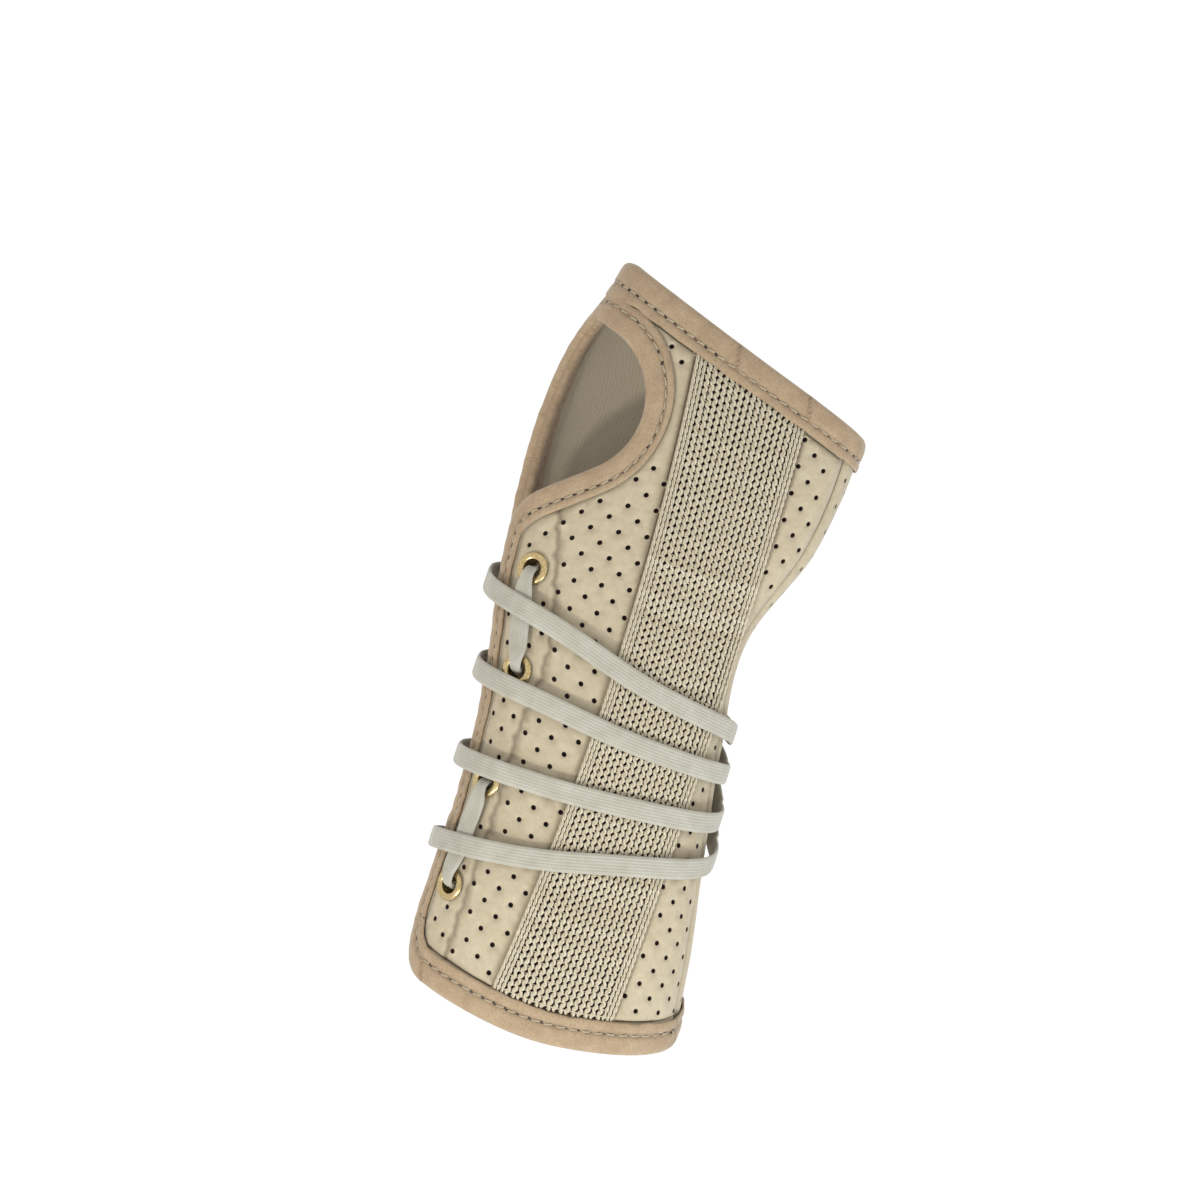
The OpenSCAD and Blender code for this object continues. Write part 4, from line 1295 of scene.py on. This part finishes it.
def lathe(pile, centre, out, profile):
    side = unit(np.cross(out, [0.2, 0.1, 0.97]))
    up = np.cross(out, side)
    t = turns(RING)
    around = np.cos(t)[:, None] * side + np.sin(t)[:, None] * up
    rings = np.array([centre + r * around + h * out for r, h in profile])
    pile.add(rings.reshape(-1, 3), grid(len(profile), RING, True))


def make_eyelets():
    bore, rim, end = EYELET_BORE, EYELET_RIM, LINING_IN - 1.8
    turn = np.radians(np.linspace(0, 180, 11))
    roll = [((bore + rim) / 2 - (rim - bore) / 2 * math.cos(t), -0.5 + 0.62 * math.sin(t)) for t in turn]
    eyelet = roll + [(rim - 0.12, -0.66), (rim - 0.5, -0.62), (bore + 0.55, -0.55), (bore + 0.3, -0.8),
                     (bore + 0.3, end + 0.45), (bore + 0.75, end + 0.35), (bore + 0.9, end + 0.15),
                     (bore + 0.75, end - 0.02), (bore + 0.3, end), (bore, end + 0.3)]
    washer = [(r, h + LINING_IN) for r, h in ((3.0, -1.25), (3.05, -0.8), (3.3, -0.72), (3.9, -0.74),
                                              (4.15, -0.9), (4.2, -1.1), (4.05, -1.24), (3.5, -1.27))]
    for side, points, body in (("palmar", PALMAR_EYELETS, "splint"), ("dorsal", DORSAL_EYELETS, "flap")):
        for number, at in enumerate(points, 1):
            out = normal(*at)
            base = relief(*at) * 0.5
            for name, profile, lift in (("eyelet", eyelet, base), ("washer", washer, 0)):
                pile = Pile()
                lathe(pile, skin(*at) + out * lift, out, profile)
                obj = pile.piece(f"{side}_{name}_{number}", body, "brass", BRASS)
                if number == 1:
                    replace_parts(obj, f"{side}_{name}s")


# ---- stay pocket, tab and patches
STAY_X, STAY_W, POCKET_OUT, POCKET_T = -2.0, 19.0, 4.8, 3.5


def palm_arc(x, z, deep):
    turn = np.arcsin((z - PALM_APEX) / PALM_R)
    r = PALM_R - deep
    return join(STAY_X + x, PALM_Y + PALM_R - r * np.cos(turn), PALM_APEX + r * np.sin(turn))


def make_pocket():
    t = turns(RING)
    cx, cy = power(np.cos(t), 0.25), power(np.sin(t), 0.45)
    stations = np.concatenate([np.linspace(-78, 75.4, 60), [76.2, 76.8]])
    middle = POCKET_OUT + POCKET_T / 2
    rings, flats = [], []
    for z in stations:
        pinch = 1.0 if z < 76 else (0.6 if z < 76.5 else 0.2)
        half = STAY_W / 2 + 2 + 0.12 * math.sin(z * 0.21)
        rings.append(palm_arc(cx * half, z, middle + cy * POCKET_T / 2 * pinch))
        flats.append(z)
    for z in stations[::-1]:
        pinch = 1.0 if z < 75 else 0.1
        deep = middle + cy * (POCKET_T / 2 - 0.6) * pinch
        rings.append(palm_arc(cx * (STAY_W / 2 + 1.2), min(z, 76.0), deep))
        flats.append(z)
    flats = [join(z, 1.2 * np.arange(1, RING + 1), 0) for z in flats]
    pile, rows = Pile(), Pile()
    pile.add(np.array(rings).reshape(-1, 3), grid(len(rings), RING, True), np.array(flats))
    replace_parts(pile.piece("stay_pocket_cloth", "splint", "lining", POCKET), "stay_pocket")
    z = np.arange(-75, 74, PITCH)
    for x in (-10.7, 10.7):
        p, ahead = (palm_arc(x, z + step, POCKET_OUT + POCKET_T - 0.12) for step in (0, PITCH))
        out = np.broadcast_to([0.0, 1.0, 0.0], p.shape)
        thread_row(rows, ((p + ahead) / 2, unit(ahead - p), out), 51)
    rows.piece("stay_pocket_stitching", "splint", "lining", THREAD, NEEDLE_HOLE_SHADE)


def rounded(a0, a1, z0, z1, r):
    """Runs round a rectangle with round corners, in angle and height."""
    u0, u1 = (to_flat(a, (z0 + z1) / 2) for a in (a0, a1))
    t = np.radians(np.linspace(0, 90, 7))
    corners = [(u1 - r, z1 - r), (u0 + r, z1 - r), (u0 + r, z0 + r), (u1 - r, z0 + r)]
    around = [t + k * math.pi / 2 for k in range(4)]
    points = np.concatenate([np.array(corner) + r * join(np.cos(a), np.sin(a))
                             for a, corner in zip(around, corners)])
    points = np.concatenate([points, points[:1]])
    runs = [points[first: last] for k in range(0, 28, 7) for first, last in ((k, k + 7), (k + 6, k + 8))]
    return [join(from_flat(*run.T), run[:, 1]) for run in runs]


def make_tab():
    low, high = TAB_Z - TAB_W / 2, TAB_Z + TAB_W / 2
    for name, (a0, a1, z0, z1, r), top, under, border, cad, body, slot, look in (
            ("loop_landing", (121, 183, low - 6, high + 6, 4), 0.2, -0.7, 1.4,
             "loop_patch", "splint", "loop", LOOP),
            ("pull_tab_cloth", (TAB_START + 2, TAB_END, low, high, 5), TAB_LIFT + TAB_T, TAB_LIFT, 2.4,
             "pull_tab", "tab", "suede", TAB_SUEDE),
            ("hook_pad", (140, TAB_END - 2, low + 2, high - 2, 3.5), TAB_LIFT - 0.2, 0.5, None,
             "hook_patch", "tab", "hook", HOOK)):
        runs, sewn = rounded(a0, a1, z0, z1, r), None
        if border:
            step = border / metric((a0 + a1) / 2, TAB_Z)
            sewn = path(*rounded(a0 + step, a1 - step, z0 + border, z1 - border, r - 1))
        make_panel(name, body, slot, look, [cad], runs, top, under, pits=False,
                   dents=[fine(sewn, 1.2)] if border else (),
                   roll=[np.concatenate([fine(run, 0.8) for run in runs])])
        if border:
            rows = Pile()
            keep = np.diff(path_length(flat_path(sewn)), prepend=-1) > 0.05
            thread_row(rows, surface_run(sewn[keep], top - 0.25), 61)
            rows.piece(name + "_stitching", body, slot, THREAD, NEEDLE_HOLE_SHADE)


def keep_cad_metal():
    for node, look in (("palm_stay", STEEL), ("stay_tips", TIP), ("palmar_boning", TIP),
                       ("dorsal_boning", TIP)):
        for obj in bpy.data.objects:
            if obj.type == "MESH" and (obj.name == node or obj.name.startswith(node + ".")):
                obj.data.materials.clear()
                obj.data.materials.append(look)


# ---- light, floor and camera
def soft_light(name, at, target, size, power_w, colour):
    data = bpy.data.lights.new(name, "AREA")
    data.shape, data.size, data.energy, data.color = "DISK", size, power_w, colour
    obj = new_object(name, data)
    obj.location = at
    obj.rotation_euler = (Vector(target) - Vector(at)).to_track_quat("-Z", "Y").to_euler()


def make_studio():
    paper = Look("paper", 0.95, specular=0.1)
    paper.colour(paper.ramp(paper.noise(paper.place, 3.0), (0.3, [0.96]), (0.7, [0.99])))
    floor, back, bend, wide = -1.1, 1.9, 0.9, 3.2
    t = np.radians(np.linspace(0, 90, 16))
    profile = [(back - bend + bend * math.sin(a), floor + bend * (1 - math.cos(a))) for a in t]
    profile = [(-1.6, floor)] + profile + [(back, 3.2)]
    mesh = bpy.data.meshes.new("sweep")
    mesh.from_pydata([(x, y, z) for y, z in profile for x in (-wide, wide)], [],
                     [(2 * k, 2 * k + 1, 2 * k + 3, 2 * k + 2) for k in range(len(profile) - 1)])
    mesh.shade_smooth()
    mesh.materials.append(paper.material)
    new_object("studio_sweep", mesh)

    scene = bpy.context.scene
    world = bpy.data.worlds.new("studio")
    world.use_nodes = True
    background = world.node_tree.nodes["Background"].inputs
    background["Color"].default_value = (1.0, 1.0, 1.0, 1.0)
    background["Strength"].default_value = 1.0
    scene.world = world
    scene.view_settings.view_transform = "Standard"
    soft_light("key", (-0.3, -0.63, -0.52), (0, 0, -0.01), 0.07, 3.1, (1.0, 0.975, 0.92))
    soft_light("fill", (0.5, -0.42, -0.4), (0, 0, -0.02), 0.3, 3.1, (0.86, 0.94, 1.0))

    # The camera looks along +Y and leans sideways, as the splint does in its frame
    middle_x, middle_y, middle_z, reach, lean = -0.0152, -0.02, 0.0291, 0.765, math.radians(18)
    data = bpy.data.cameras.new("camera")
    data.lens, data.sensor_width = 85.0, 36.0
    camera = new_object("camera", data)
    c, s = math.cos(lean), math.sin(lean)
    camera.matrix_world = Matrix([[c, -s, 0, middle_x], [0, 0, -1, middle_y - reach],
                                  [s, c, 0, middle_z], [0, 0, 0, 1]])
    scene.camera = camera


make_studio()
make_panels()
make_tapes()
make_seams()
make_webbing()
make_laces()
make_eyelets()
make_pocket()
make_tab()
keep_cad_metal()
